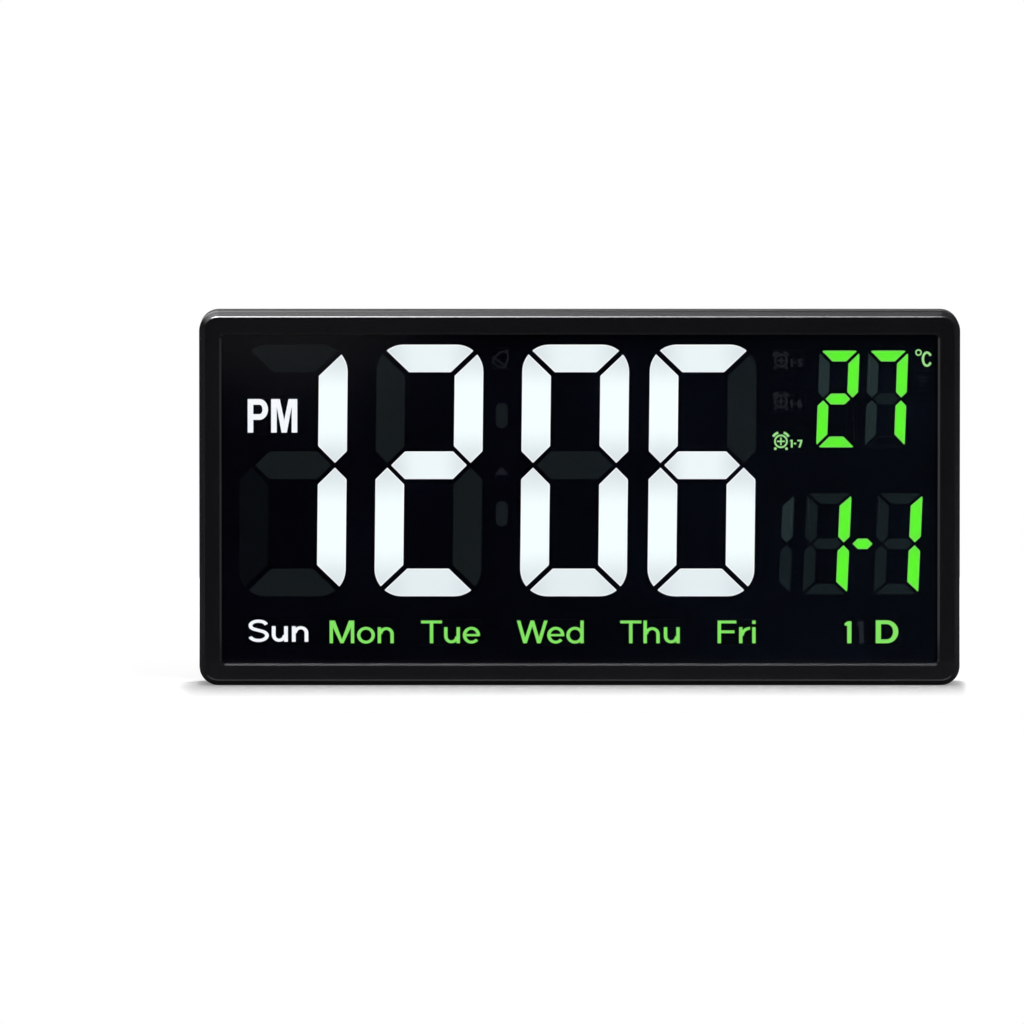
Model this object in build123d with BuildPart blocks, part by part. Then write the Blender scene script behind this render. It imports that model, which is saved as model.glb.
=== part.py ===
from build123d import *
import os
from collections import namedtuple
from math import atan2, degrees, sqrt

os.makedirs("parts", exist_ok=True)

# Digital wall clock, in millimetres.
# +Z is up, +X is to the right of someone reading it, and the display faces -Y.
# The origin is at the middle of the case's footprint, on the surface it stands on.

# Case mouldings
wall = 2.2
back_wall = 2.2
bezel_lip = 1.6
bezel_land = 1.8
corner_r = 7.6
edge_bevel = 1.8
edge_bevel_depth = 4.0
edge_round = 1.2
back_round = 1.2
parting_groove = 0.3
opening_r = 1.5
opening_bevel = 0.9
opening_bevel_depth = 0.5
overrun = 1.0

# Front stack, from the lip back to the board
lens_t = 2.0
lens_overlap = 2.2
lens_corner_r = 1.5
housing_t = 9.0
window_t = 1.2
window_fit = 0.1
window_ledge = 0.7
board_t = 1.6
board_gap = 0.3

# Case screws and the bosses and tubes they run in
screw_boss_d = 5.0
boss_sink = 0.4
boss_gap = 0.3
screw_d = 2.6
screw_fit = 0.05
screw_bite = 8.0
screw_head_d = 4.4
screw_head_h = 1.8
screw_head_gap = 0.3
screw_seat_t = 4.0
screw_tube_wall = 1.0
screw_column_shares = (-0.43, -0.2, 0.2, 0.43)

# Time digits and the spaces between them
time_w = 43.0
time_h = 101.2
time_stroke = 11.7
time_bar = 11.2
time_gap = 2.0
time_corner_r = 11.0
time_middle_rise = 2.1
time_tip_share = 0.41
time_slant_share = 0.0105
left_margin = 7.2
hour_space = 11.4
colon_space = 15.4
minute_space = 8.1
side_space = 7.0
right_margin = 2.25
top_margin = 4.05

# Colon dots and the small bell sign above them
colon_w = 5.0
colon_h = 10.2
colon_z_shares = (0.328, 0.718)
bell_w = 6.0
bell_h = 7.0
bell_z_share = 0.944

# Temperature digits, unit signs and alarm signs
temperature_w = 16.2
temperature_h = 39.0
temperature_stroke = 4.5
temperature_space = 3.3
temperature_drop = 2.4
temperature_slant_share = 0.036
alarm_w = 12.4
alarm_h = 7.0
alarm_space = 4.7
alarm_z_shares = (0.065, 0.476, 0.896)
unit_w = 6.8
unit_h = 6.6
unit_space = 2.65
unit_z_shares = (0.69, 0.922)

# Date digits
date_w = 18.1
date_h = 40.7
date_stroke = 4.8
date_bar = 4.3
date_half_space = 4.8
date_rise = 0.77
date_inset = 2.1
date_slant_share = 0.044
dash_w = 8.2
dash_gap = 1.1
row_space = 10.0

# Ends of the segments
small_gap = 1.1
small_tip_share = 0.5
small_corner_r = 2.2
middle_gap_share = 0.6

# Row of weekday words and the day count, as shares of the window's width
word_h = 8.86
bottom_margin = 7.91
word_space = 9.98
word_left_shares = (0.0352, 0.1488, 0.2784, 0.4122, 0.5568, 0.6916)
word_width_shares = (0.0861, 0.0923, 0.0826, 0.0937, 0.0833, 0.0551)
count_left_shares = (0.8672, 0.9111)
count_width_shares = (0.0334, 0.0363)
legend_margin = 0.8
legend_r = 0.8

# The am/pm sign stands where the first digit has no upper left segment
period_h = 13.5
period_w_share = 0.65
period_inset_share = 0.1
period_z_share = 0.7172

# Light chips
white_led_w = 2.8
white_led_l = 3.5
green_led_w = 1.25
green_led_l = 2.0
led_h = 0.8
led_spread_share = 0.22

# Board screws
board_screw_d = 2.0
board_screw_bite = 5.0
board_screw_head_d = 4.0
board_screw_head_h = 1.4
board_screw_z_shares = (0.08, 0.92)

# Infrared receiver at the right end of the word row
ir_w = 5.6
ir_h = 6.9
ir_t = 3.8
ir_dome_r = 2.3
ir_margin = 8.5
ir_well_gap = 0.4

# Chips on the back of the board
chip_w = 10.0
chip_t = 1.6
chip_leads = 12
chip_lead_pitch = 0.75
chip_lead_w = 0.35
chip_lead_t = 0.25
chip_lead_reach = 1.0
chip_z_share = 0.44
driver_w = 4.0
driver_l = 10.0
driver_t = 1.5
driver_leads = 8
driver_lead_pitch = 1.2
driver_z_shares = (0.60, 0.72, 0.84)
crystal_l = 11.0
crystal_w = 4.6
crystal_h = 3.5
crystal_flange = 0.4
crystal_space = 4.0

# Power jack, its plug pocket and the capacitors beside it
jack_w = 9.0
jack_l = 14.0
jack_axis_h = 6.5
jack_bore_d = 6.4
jack_bore_l = 10.0
jack_pin_d = 2.0
jack_headroom = 0.6
pocket_w = 20.0
pocket_h = 26.0
pocket_wall = 1.6
pocket_floor_t = 1.0
plug_hole_d = 8.0
capacitor_d = 6.3
capacitor_h = 7.7
capacitor_base_h = 1.0
capacitor_base_gap = 0.3
capacitor_space = 3.0

# Buzzer behind its sound holes, and temperature sensor behind its vents
buzzer_d = 12.0
buzzer_h = 8.5
buzzer_hole_d = 2.0
buzzer_hole_l = 1.5
buzzer_rise = 84.0
sound_hole_d = 1.8
sound_hole_ring_r = 4.0
sound_holes = 6
sensor_w = 4.6
sensor_t = 3.6
sensor_h = 4.6
sensor_lead_h = 4.0
sensor_lead_w = 0.5
sensor_lead_pitch = 1.3
sensor_rise = 84.0
vent_w = 1.8
vent_h = 12.0
vent_pitch = 5.0
vents = 5

# Buttons in their shallow recess, and the switches under them
button_names = ("mode", "up", "down", "alarm")
button_d = 7.0
button_gap = 0.3
button_pitch = 16.0
button_drop = 32.0
button_rise = 1.0
button_edge = 0.4
button_recess = 1.2
button_margin = 2.0
button_flange = 1.1
button_flange_t = 1.0
button_rest_gap = 0.1
button_travel = 0.5
switch_w = 6.0
switch_h = 3.5
plunger_d = 3.4
plunger_fit = 0.1
plunger_seat = 0.9
plunger_floor_gap = 0.3

# Backup cell, its holder and its bayonet cover
cell_d = 20.0
cell_h = 3.2
cell_cap_d = 17.6
cell_cap_h = 0.6
cell_fit = 0.15
cell_rise = 45.0
holder_wall = 1.5
holder_base_h = 4.0
holder_rim_share = 0.6
contact_d = 8.0
contact_t = 0.3
clip_w = 5.0
clip_t = 0.4
clip_reach = 6.0
clip_gap = 0.1
hatch_margin = 1.3
hatch_gap = 0.3
hatch_lugs = 3
hatch_lug_w = 5.0
hatch_lug_reach = 1.3
hatch_lug_t = 1.2
hatch_lug_gap = 0.1
hatch_rim = 1.6
hatch_skin = 2.2
hatch_turn = 35
coin_slot_w = 2.0
coin_slot_l = 14.0
coin_slot_depth = 1.1
cell_tube_gap = 0.4
cell_tube_wall = 1.6

# Desk stand and its recess
stand_w = 78.0
stand_h = 66.0
stand_t = 4.6
stand_gap = 0.5
stand_sink = 0.2
stand_floor_gap = 0.5
stand_rise = 13.0
stand_corner_r = 6.0
stand_skin = 2.0
stand_rim = 3.0
trunnion_d = 3.0
trunnion_fit = 0.05
trunnion_bite = 1.4
trunnion_end_gap = 0.3
recess_wall = 2.4
notch_w = 22.0
notch_h = 7.0

# Wall keyholes and board posts
keyhole_spacing = 220.0
keyhole_drop = 32.0
keyhole_d = 9.0
keyhole_slot_w = 4.6
keyhole_slot_l = 9.0
post_d = 5.0
post_z_share = 0.5

# Sizes of the display window and the case, worked out from what they hold
bezel_face = wall + screw_boss_d + bezel_land
temperature_pair_w = 2 * temperature_w + temperature_space + temperature_slant_share * temperature_h
temperature_row_w = alarm_w + alarm_space + temperature_pair_w + unit_space + unit_w
dash_space = dash_w + 2 * dash_gap
date_row_w = (
    2 * date_inset + date_stroke + date_half_space + 2 * date_w + dash_space + date_slant_share * date_h
)
side_w = max(temperature_row_w, date_row_w)
side_h = date_rise + date_h + row_space + temperature_h + temperature_drop
content_h = max(time_h, side_h)
window_w = (
    left_margin + 4 * time_w + hour_space + colon_space + minute_space + side_space + side_w + right_margin
)
window_h = bottom_margin + word_h + word_space + content_h + top_margin
case_w = window_w + 2 * bezel_face
case_h = window_h + 2 * bezel_face
jack_h = jack_axis_h + jack_w / 2
rear_space = jack_h + jack_headroom
case_d = bezel_lip + lens_t + housing_t + board_t + rear_space + back_wall

# Depth levels along Y, from front to back
front_y = -case_d / 2
lens_front = front_y + bezel_lip
housing_front = lens_front + lens_t
board_front = housing_front + housing_t
board_back = board_front + board_t
back_inner = board_back + rear_space
back_y = case_d / 2

# Places across the front
middle_z = case_h / 2
window_left = -window_w / 2
window_right = window_w / 2
word_z = bezel_face + bottom_margin
content_z = word_z + word_h + word_space
time_lean = time_slant_share * time_h / 2
hour_tens_x = window_left + left_margin - time_lean
hour_units_x = hour_tens_x + time_w + hour_space
minute_tens_x = hour_units_x + time_w + colon_space
minute_units_x = minute_tens_x + time_w + minute_space
colon_x = minute_tens_x + time_lean - colon_space / 2
side_x = minute_units_x + time_lean + time_w + side_space
temperature_x = side_x + alarm_w + alarm_space
temperature_z = content_z + content_h - temperature_drop - temperature_h
unit_x = temperature_x + temperature_pair_w + unit_space
date_z = content_z + date_rise
date_half_x = side_x + date_inset
date_left_x = date_half_x + date_stroke + date_half_space
date_right_x = date_left_x + date_w + dash_space

# Places of screws and posts: the gaps between digits are free of wells
boss_inset = wall + screw_boss_d / 2 - boss_sink
screw_tube_d = screw_head_d + 2 * screw_head_gap + 2 * screw_tube_wall
screw_places = [
    (share * case_w, z) for share in screw_column_shares for z in (boss_inset, case_h - boss_inset)
]
board_inset = boss_inset + screw_tube_d / 2 + board_gap
board_w = case_w - 2 * board_inset
board_h = case_h - 2 * board_inset
gap_columns = (
    window_left + left_margin / 2,
    hour_units_x + time_lean - hour_space / 2,
    minute_units_x + time_lean - minute_space / 2,
    side_x - side_space / 2,
)
board_screw_places = [
    (x, content_z + share * content_h) for x in gap_columns for share in board_screw_z_shares
]
post_places = [
    (x, content_z + post_z_share * content_h)
    for x in (gap_columns[0], gap_columns[1], gap_columns[3], window_right - left_margin / 2)
]

# Places of the parts behind the display
jack_x = case_w * (screw_column_shares[2] + screw_column_shares[3]) / 2
jack_y = board_back + jack_axis_h
jack_z = pocket_h + pocket_wall
pocket_floor = board_back + board_gap + pocket_floor_t
cell_x = hour_tens_x + time_lean + time_w / 2
chip_x = minute_units_x + time_lean + time_w / 2
button_z = case_h - button_drop
button_places = [
    (colon_x + (index - (len(button_names) - 1) / 2) * button_pitch, button_z)
    for index in range(len(button_names))
]
ir_place = (window_right - ir_margin, word_z + word_h / 2)

# Seven-segment digits
Style = namedtuple("Style", "width height stroke bar gap corner_r middle_rise tip_share slant_share")
Digit = namedtuple("Digit", "name style x z letters")

time_style = Style(
    time_w, time_h, time_stroke, time_bar, time_gap, time_corner_r, time_middle_rise,
    time_tip_share, time_slant_share,
)
temperature_style = Style(
    temperature_w, temperature_h, temperature_stroke, temperature_stroke, small_gap, small_corner_r, 0,
    small_tip_share, temperature_slant_share,
)
date_style = Style(
    date_w, date_h, date_stroke, date_bar, small_gap, small_corner_r, 0,
    small_tip_share, date_slant_share,
)
half_style = date_style._replace(width=date_stroke)

time_digits = [
    Digit("hour_tens", time_style, hour_tens_x, content_z, "abcdeg"),
    Digit("hour_units", time_style, hour_units_x, content_z, "abcdefg"),
    Digit("minute_tens", time_style, minute_tens_x, content_z, "abcdefg"),
    Digit("minute_units", time_style, minute_units_x, content_z, "abcdefg"),
]
small_digits = [
    Digit("temperature_tens", temperature_style, temperature_x, temperature_z, "abcdefg"),
    Digit(
        "temperature_units", temperature_style,
        temperature_x + temperature_w + temperature_space, temperature_z, "abcdefg",
    ),
    Digit("date_half", half_style, date_half_x, date_z, "bc"),
    Digit("date_left", date_style, date_left_x, date_z, "abcdefg"),
    Digit("date_right", date_style, date_right_x, date_z, "abcdefg"),
]

# Word and sign windows: middle x, middle z, width, height
word_windows = [
    (window_left + (left + width / 2) * window_w, word_z + word_h / 2, width * window_w, word_h)
    for left, width in zip(word_left_shares, word_width_shares)
]
count_windows = [
    (window_left + (left + width / 2) * window_w, word_z + word_h / 2, width * window_w, word_h)
    for left, width in zip(count_left_shares, count_width_shares)
]
period_w = period_w_share * (time_w - time_stroke)
period_window = (
    hour_tens_x + period_inset_share * (time_w - time_stroke) + period_w / 2,
    content_z + period_z_share * time_h,
    period_w,
    period_h,
)
bell_window = (colon_x, content_z + bell_z_share * time_h, bell_w, bell_h)
alarm_windows = [
    (side_x + alarm_w / 2, temperature_z + share * temperature_h, alarm_w, alarm_h)
    for share in alarm_z_shares
]
unit_windows = [
    (unit_x + unit_w / 2, temperature_z + share * temperature_h, unit_w, unit_h)
    for share in unit_z_shares
]
legend_windows_list = [period_window, bell_window, *alarm_windows, *unit_windows, *count_windows]


def level(y):
    """Plane at depth y, seen from the front: sketch x is X, sketch y is Z, and extrusions run forward."""
    return Plane.XZ.offset(-y)


def segment_outlines(style, inset):
    """Corners of a digit's segments, each shrunk by inset, about the digit's lower left corner."""
    left, right = inset, style.width - inset
    bottom, top = inset, style.height - inset
    stroke = style.stroke - 2 * inset
    bar = style.bar - 2 * inset
    cut = (style.gap / 2 + inset) * sqrt(2)
    tip_cut = (middle_gap_share * style.gap / 2 + inset) * sqrt(2)
    middle = style.height / 2 + style.middle_rise
    tip = stroke * style.tip_share
    shoulder = stroke - tip
    half = bar / 2
    bar_left, bar_right = left + tip + cut, right - tip - cut
    outlines = {
        "a": [
            (left + cut, top), (right - cut, top),
            (right - stroke - cut, top - bar), (left + stroke + cut, top - bar),
        ],
        "b": [
            (right, top - cut), (right, middle + tip_cut + tip), (right - tip, middle + tip_cut),
            (right - stroke, middle + tip_cut + shoulder), (right - stroke, top - bar - cut),
        ],
        "c": [
            (right, bottom + cut), (right, middle - tip_cut - tip), (right - tip, middle - tip_cut),
            (right - stroke, middle - tip_cut - shoulder), (right - stroke, bottom + bar + cut),
        ],
        "d": [
            (left + cut, bottom), (right - cut, bottom),
            (right - stroke - cut, bottom + bar), (left + stroke + cut, bottom + bar),
        ],
        "e": [
            (left, bottom + cut), (left, middle - tip_cut - tip), (left + tip, middle - tip_cut),
            (left + stroke, middle - tip_cut - shoulder), (left + stroke, bottom + bar + cut),
        ],
        "f": [
            (left, top - cut), (left, middle + tip_cut + tip), (left + tip, middle + tip_cut),
            (left + stroke, middle + tip_cut + shoulder), (left + stroke, top - bar - cut),
        ],
        "g": [
            (bar_left, middle), (bar_left + half, middle + half), (bar_right - half, middle + half),
            (bar_right, middle), (bar_right - half, middle - half), (bar_left + half, middle - half),
        ],
    }
    return {
        letter: [(x + style.slant_share * z, z) for x, z in points]
        for letter, points in outlines.items()
    }


def digit_face(digit, inset):
    """Flat outline of a digit's segments, each shrunk by inset, in its place on the display."""
    style = digit.style
    outlines = segment_outlines(style, inset)
    left, right = inset, style.width - inset
    bottom, top = inset, style.height - inset
    corners = [(left, bottom), (right, bottom), (right, top), (left, top)]
    with BuildSketch() as rounded:
        Polygon([(digit.x + x + style.slant_share * z, digit.z + z) for x, z in corners])
        fillet(rounded.vertices(), style.corner_r - inset)
    with BuildSketch() as face:
        for letter in digit.letters:
            Polygon([(digit.x + x, digit.z + z) for x, z in outlines[letter]])
        add(rounded.sketch, mode=Mode.INTERSECT)
    return face.sketch


def segment_middles(digit, letters):
    """Middle of each named segment of a digit, on the display."""
    outlines = segment_outlines(digit.style, 0)
    middles = []
    for letter in letters:
        if letter in digit.letters:
            points = outlines[letter]
            x = sum(point[0] for point in points) / len(points)
            z = sum(point[1] for point in points) / len(points)
            middles.append((digit.x + x, digit.z + z))
    return middles


def sign_face(windows, inset):
    """Rounded rectangles behind words and signs, each wider than its sign by the margin less the inset."""
    with BuildSketch() as face:
        for x, z, width, height in windows:
            grow = 2 * (legend_margin - inset)
            with Locations((x, z)):
                RectangleRounded(width + grow, height + grow, legend_r)
    return face.sketch


def colon_face(inset):
    """Two upright capsules between the hours and the minutes."""
    with BuildSketch() as face:
        with Locations(*[(colon_x, content_z + share * time_h) for share in colon_z_shares]):
            SlotOverall(colon_h - 2 * inset, colon_w - 2 * inset, rotation=90)
    return face.sketch


def dash_face(inset):
    """Six-sided dash between the two date digits."""
    half_l = dash_w / 2 - inset
    half_h = date_bar / 2 - inset
    x = date_right_x - dash_space / 2 + date_slant_share * date_h / 2
    z = date_z + date_h / 2
    with BuildSketch() as face:
        Polygon(
            (x - half_l, z), (x - half_l + half_h, z + half_h), (x + half_l - half_h, z + half_h),
            (x + half_l, z), (x + half_l - half_h, z - half_h), (x - half_l + half_h, z - half_h),
        )
    return face.sketch


def display_faces(inset):
    """Every lit outline on the display, each shrunk by inset."""
    faces = [digit_face(digit, inset) for digit in time_digits + small_digits]
    faces += [colon_face(inset), dash_face(inset)]
    faces += [sign_face(word_windows, inset), sign_face(legend_windows_list, inset)]
    return faces


# Front bezel: a rounded frame with a steep bevel round its front, a bevelled window and eight screw bosses
edge_angle = degrees(atan2(edge_bevel, edge_bevel_depth))
with BuildPart() as front_bezel:
    with BuildSketch(level(board_front)):
        with Locations((0, middle_z)):
            RectangleRounded(case_w, case_h, corner_r)
    extrude(amount=board_front - front_y - edge_bevel_depth)
    extrude(front_bezel.faces().sort_by(Axis.Y)[0], amount=edge_bevel_depth, taper=edge_angle)
    fillet(front_bezel.faces().sort_by(Axis.Y)[0].edges(), edge_round)
    with BuildSketch(level(board_front)):
        with Locations((0, middle_z)):
            RectangleRounded(case_w - 2 * wall, case_h - 2 * wall, corner_r - wall)
    extrude(amount=board_front - lens_front, mode=Mode.SUBTRACT)
    with BuildSketch(level(lens_front)):
        with Locations((0, middle_z)):
            RectangleRounded(window_w, window_h, opening_r)
    extrude(amount=bezel_lip + overrun, mode=Mode.SUBTRACT)
    front_face = front_bezel.faces().sort_by(Axis.Y)[0]
    opening_edges = front_face.inner_wires()[0].edges()
    chamfer(opening_edges, opening_bevel, opening_bevel_depth, reference=front_face)
    with BuildSketch(level(board_front)):
        with Locations(*screw_places):
            Circle(screw_boss_d / 2)
    extrude(amount=board_front - lens_front)
    with BuildSketch(level(board_front)):
        with Locations(*screw_places):
            Circle(screw_d / 2 + screw_fit)
    extrude(amount=screw_bite + screw_d / 2, mode=Mode.SUBTRACT)
front_bezel.part.label = "front_bezel"
export_step(front_bezel.part, "parts/front_bezel.step")

# Outline shared by the lens and the light box, notched round the bezel's bosses
lens_w = window_w + 2 * lens_overlap
lens_h = window_h + 2 * lens_overlap
with BuildSketch() as panel_outline:
    with Locations((0, middle_z)):
        RectangleRounded(lens_w, lens_h, lens_corner_r)
    with Locations(*screw_places):
        Circle(screw_boss_d / 2 + boss_gap, mode=Mode.SUBTRACT)

# Smoked lens behind the bezel's lip
with BuildPart() as front_lens:
    with BuildSketch(level(housing_front)):
        add(panel_outline.sketch)
    extrude(amount=lens_t)
front_lens.part.label = "front_lens"
export_step(front_lens.part, "parts/front_lens.step")

# Light box: a well through it for every segment, word and sign, stepped to seat the window in its mouth
with BuildPart() as display_housing:
    with BuildSketch(level(board_front)):
        add(panel_outline.sketch)
    extrude(amount=housing_t)
    with BuildSketch(level(housing_front + window_t)):
        for face in display_faces(0):
            add(face)
    extrude(amount=window_t, mode=Mode.SUBTRACT)
    with BuildSketch(level(board_front)):
        for face in display_faces(window_ledge):
            add(face)
        with Locations(ir_place):
            Rectangle(ir_w + 2 * ir_well_gap, ir_h + 2 * ir_well_gap)
    extrude(amount=housing_t, mode=Mode.SUBTRACT)
    with BuildSketch(level(board_front)):
        with Locations(*board_screw_places):
            Circle(board_screw_d / 2 + screw_fit)
    extrude(amount=board_screw_bite + board_screw_d / 2, mode=Mode.SUBTRACT)
display_housing.part.label = "display_housing"
export_step(display_housing.part, "parts/display_housing.step")

# Diffuser windows of each digit
for digit in time_digits + small_digits:
    with BuildPart() as segments:
        with BuildSketch(level(housing_front + window_t)):
            add(digit_face(digit, window_fit))
        extrude(amount=window_t)
    segments.part.label = f"{digit.name}_segments"
    export_step(segments.part, f"parts/{digit.name}_segments.step")

# Diffuser windows of the colon, the dash, the weekday words and the signs
sign_groups = {
    "colon_windows": colon_face(window_fit),
    "date_dash_window": dash_face(window_fit),
    "weekday_windows": sign_face(word_windows, window_fit),
    "legend_windows": sign_face(legend_windows_list, window_fit),
}
for name, face in sign_groups.items():
    with BuildPart() as windows:
        with BuildSketch(level(housing_front + window_t)):
            add(face)
        extrude(amount=window_t)
    windows.part.label = name
    export_step(windows.part, f"parts/{name}.step")

# Main board
with BuildPart() as main_board:
    with BuildSketch(level(board_back)):
        with Locations((0, middle_z)):
            RectangleRounded(board_w, board_h, lens_corner_r)
        with Locations(*board_screw_places):
            Circle(board_screw_d / 2 + screw_fit, mode=Mode.SUBTRACT)
    extrude(amount=board_t)
main_board.part.label = "main_board"
export_step(main_board.part, "parts/main_board.step")

# White light chips, two in each segment of the time and one in each white sign
upright_spread = led_spread_share * time_h / 2
level_spread = led_spread_share * time_w
upright_whites = []
level_whites = [(colon_x, content_z + share * time_h) for share in colon_z_shares]
level_whites += [window[:2] for window in (period_window, bell_window, word_windows[0])]
for digit in time_digits:
    for x, z in segment_middles(digit, "bcef"):
        upright_whites += [(x, z - upright_spread), (x, z + upright_spread)]
    for x, z in segment_middles(digit, "adg"):
        level_whites += [(x - level_spread, z), (x + level_spread, z)]
with BuildPart() as white_leds:
    with BuildSketch(level(board_front)):
        with Locations(*upright_whites):
            Rectangle(white_led_w, white_led_l)
        with Locations(*level_whites):
            Rectangle(white_led_l, white_led_w)
    extrude(amount=led_h)
white_leds.part.label = "white_leds"
export_step(white_leds.part, "parts/white_leds.step")

# Green light chips, one in each small segment, word and sign
upright_greens = []
level_greens = [(date_right_x - dash_space / 2 + date_slant_share * date_h / 2, date_z + date_h / 2)]
level_greens += [window[:2] for window in word_windows[1:] + alarm_windows + unit_windows + count_windows]
for digit in small_digits:
    upright_greens += segment_middles(digit, "bcef")
    level_greens += segment_middles(digit, "adg")
with BuildPart() as green_leds:
    with BuildSketch(level(board_front)):
        with Locations(*upright_greens):
            Rectangle(green_led_w, green_led_l)
        with Locations(*level_greens):
            Rectangle(green_led_l, green_led_w)
    extrude(amount=led_h)
green_leds.part.label = "green_leds"
export_step(green_leds.part, "parts/green_leds.step")

# Infrared receiver with its dome towards the lens
with BuildPart() as ir_receiver:
    with BuildSketch(level(board_front)):
        with Locations(ir_place):
            Rectangle(ir_w, ir_h)
    extrude(amount=ir_t)
    with Locations((ir_place[0], board_front - ir_t, ir_place[1])):
        Sphere(ir_dome_r)
ir_receiver.part.label = "ir_receiver"
export_step(ir_receiver.part, "parts/ir_receiver.step")

# Screws that hold the board to the light box
with BuildPart() as board_screws:
    with BuildSketch(level(board_back)):
        with Locations(*board_screw_places):
            Circle(board_screw_d / 2)
    extrude(amount=board_t + board_screw_bite)
    with BuildSketch(level(board_back + board_screw_head_h)):
        with Locations(*board_screw_places):
            Circle(board_screw_head_d / 2)
    extrude(amount=board_screw_head_h)
board_screws.part.label = "board_screws"
export_step(board_screws.part, "parts/board_screws.step")

# Microcontroller: a square body on leads at all four sides
chip_z = chip_z_share * case_h
chip_span = chip_w + 2 * chip_lead_reach
with BuildPart() as microcontroller:
    with BuildSketch(level(board_back + chip_t)):
        with Locations((chip_x, chip_z)):
            Rectangle(chip_w, chip_w)
    extrude(amount=chip_t)
    with BuildSketch(level(board_back + chip_lead_t)):
        with Locations((chip_x, chip_z)):
            with GridLocations(0, chip_lead_pitch, 1, chip_leads):
                Rectangle(chip_span, chip_lead_w)
            with GridLocations(chip_lead_pitch, 0, chip_leads, 1):
                Rectangle(chip_lead_w, chip_span)
    extrude(amount=chip_lead_t)
microcontroller.part.label = "microcontroller"
export_step(microcontroller.part, "parts/microcontroller.step")

# Display drivers, stacked above the microcontroller
driver_places = [(chip_x, share * case_h) for share in driver_z_shares]
with BuildPart() as led_drivers:
    with BuildSketch(level(board_back + driver_t)):
        with Locations(*driver_places):
            Rectangle(driver_l, driver_w)
    extrude(amount=driver_t)
    with BuildSketch(level(board_back + chip_lead_t)):
        with Locations(*driver_places):
            with GridLocations(driver_lead_pitch, 0, driver_leads, 1):
                Rectangle(chip_lead_w, driver_w + 2 * chip_lead_reach)
    extrude(amount=chip_lead_t)
led_drivers.part.label = "led_drivers"
export_step(led_drivers.part, "parts/led_drivers.step")

# Clock crystal: a flanged metal can below the microcontroller
crystal_z = chip_z - chip_span / 2 - crystal_space - crystal_w / 2
with BuildPart() as clock_crystal:
    with BuildSketch(level(board_back + crystal_h)):
        with Locations((chip_x, crystal_z)):
            SlotOverall(crystal_l, crystal_w)
    extrude(amount=crystal_h)
    with BuildSketch(level(board_back + crystal_flange)):
        with Locations((chip_x, crystal_z)):
            SlotOverall(crystal_l + 2 * crystal_flange, crystal_w + 2 * crystal_flange)
    extrude(amount=crystal_flange)
clock_crystal.part.label = "clock_crystal"
export_step(clock_crystal.part, "parts/clock_crystal.step")

# Power jack: an arched body with its bore facing down into the plug pocket
with BuildPart() as power_jack:
    with BuildSketch(Plane.XY.offset(jack_z)):
        with Locations((jack_x, jack_y)):
            Circle(jack_w / 2)
        with Locations((jack_x, jack_y - jack_axis_h / 2)):
            Rectangle(jack_w, jack_axis_h)
    extrude(amount=jack_l)
    with BuildSketch(Plane.XY.offset(jack_z)):
        with Locations((jack_x, jack_y)):
            Circle(jack_bore_d / 2)
    extrude(amount=jack_bore_l, mode=Mode.SUBTRACT)
power_jack.part.label = "power_jack"
export_step(power_jack.part, "parts/power_jack.step")

# Contact pin in the middle of the jack's bore
with BuildPart() as power_jack_pin:
    with BuildSketch(Plane.XY.offset(jack_z + jack_bore_l)):
        with Locations((jack_x, jack_y)):
            Circle(jack_pin_d / 2)
    extrude(amount=-jack_bore_l)
    fillet(power_jack_pin.edges().group_by(Axis.Z)[0], jack_pin_d / 4)
power_jack_pin.part.label = "power_jack_pin"
export_step(power_jack_pin.part, "parts/power_jack_pin.step")

# Filter capacitors on square bases beside the jack
capacitor_base_w = capacitor_d + 2 * capacitor_base_gap
capacitor_x = jack_x + jack_w / 2 + capacitor_space + capacitor_base_w / 2
capacitor_places = [
    (capacitor_x, jack_z + capacitor_space + capacitor_base_w / 2),
    (capacitor_x, jack_z + 2 * capacitor_space + 3 * capacitor_base_w / 2),
]
with BuildPart() as filter_capacitors:
    with BuildSketch(level(board_back + capacitor_base_h)):
        with Locations(*capacitor_places):
            Rectangle(capacitor_base_w, capacitor_base_w)
    extrude(amount=capacitor_base_h)
    with BuildSketch(level(board_back + capacitor_h)):
        with Locations(*capacitor_places):
            Circle(capacitor_d / 2)
    extrude(amount=capacitor_h)
filter_capacitors.part.label = "filter_capacitors"
export_step(filter_capacitors.part, "parts/filter_capacitors.step")

# Buzzer with its mouth towards the sound holes
with BuildPart() as buzzer:
    with BuildSketch(level(board_back + buzzer_h)):
        with Locations((jack_x, buzzer_rise)):
            Circle(buzzer_d / 2)
    extrude(amount=buzzer_h)
    with BuildSketch(level(board_back + buzzer_h)):
        with Locations((jack_x, buzzer_rise)):
            Circle(buzzer_hole_d / 2)
    extrude(amount=buzzer_hole_l, mode=Mode.SUBTRACT)
buzzer.part.label = "buzzer"
export_step(buzzer.part, "parts/buzzer.step")

# Temperature sensor: a flat-backed body on three leads, behind the vents
with BuildPart() as temperature_sensor:
    with BuildSketch(level(board_back + sensor_lead_h + sensor_h)):
        with Locations((cell_x, sensor_rise)):
            Circle(sensor_w / 2)
            with Locations((0, sensor_t)):
                Rectangle(sensor_w, sensor_w, mode=Mode.SUBTRACT)
    extrude(amount=sensor_h)
    with BuildSketch(level(board_back + sensor_lead_h)):
        with Locations((cell_x, sensor_rise)):
            with GridLocations(sensor_lead_pitch, 0, 3, 1):
                Rectangle(sensor_lead_w, sensor_lead_w)
    extrude(amount=sensor_lead_h)
temperature_sensor.part.label = "temperature_sensor"
export_step(temperature_sensor.part, "parts/temperature_sensor.step")

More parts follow.
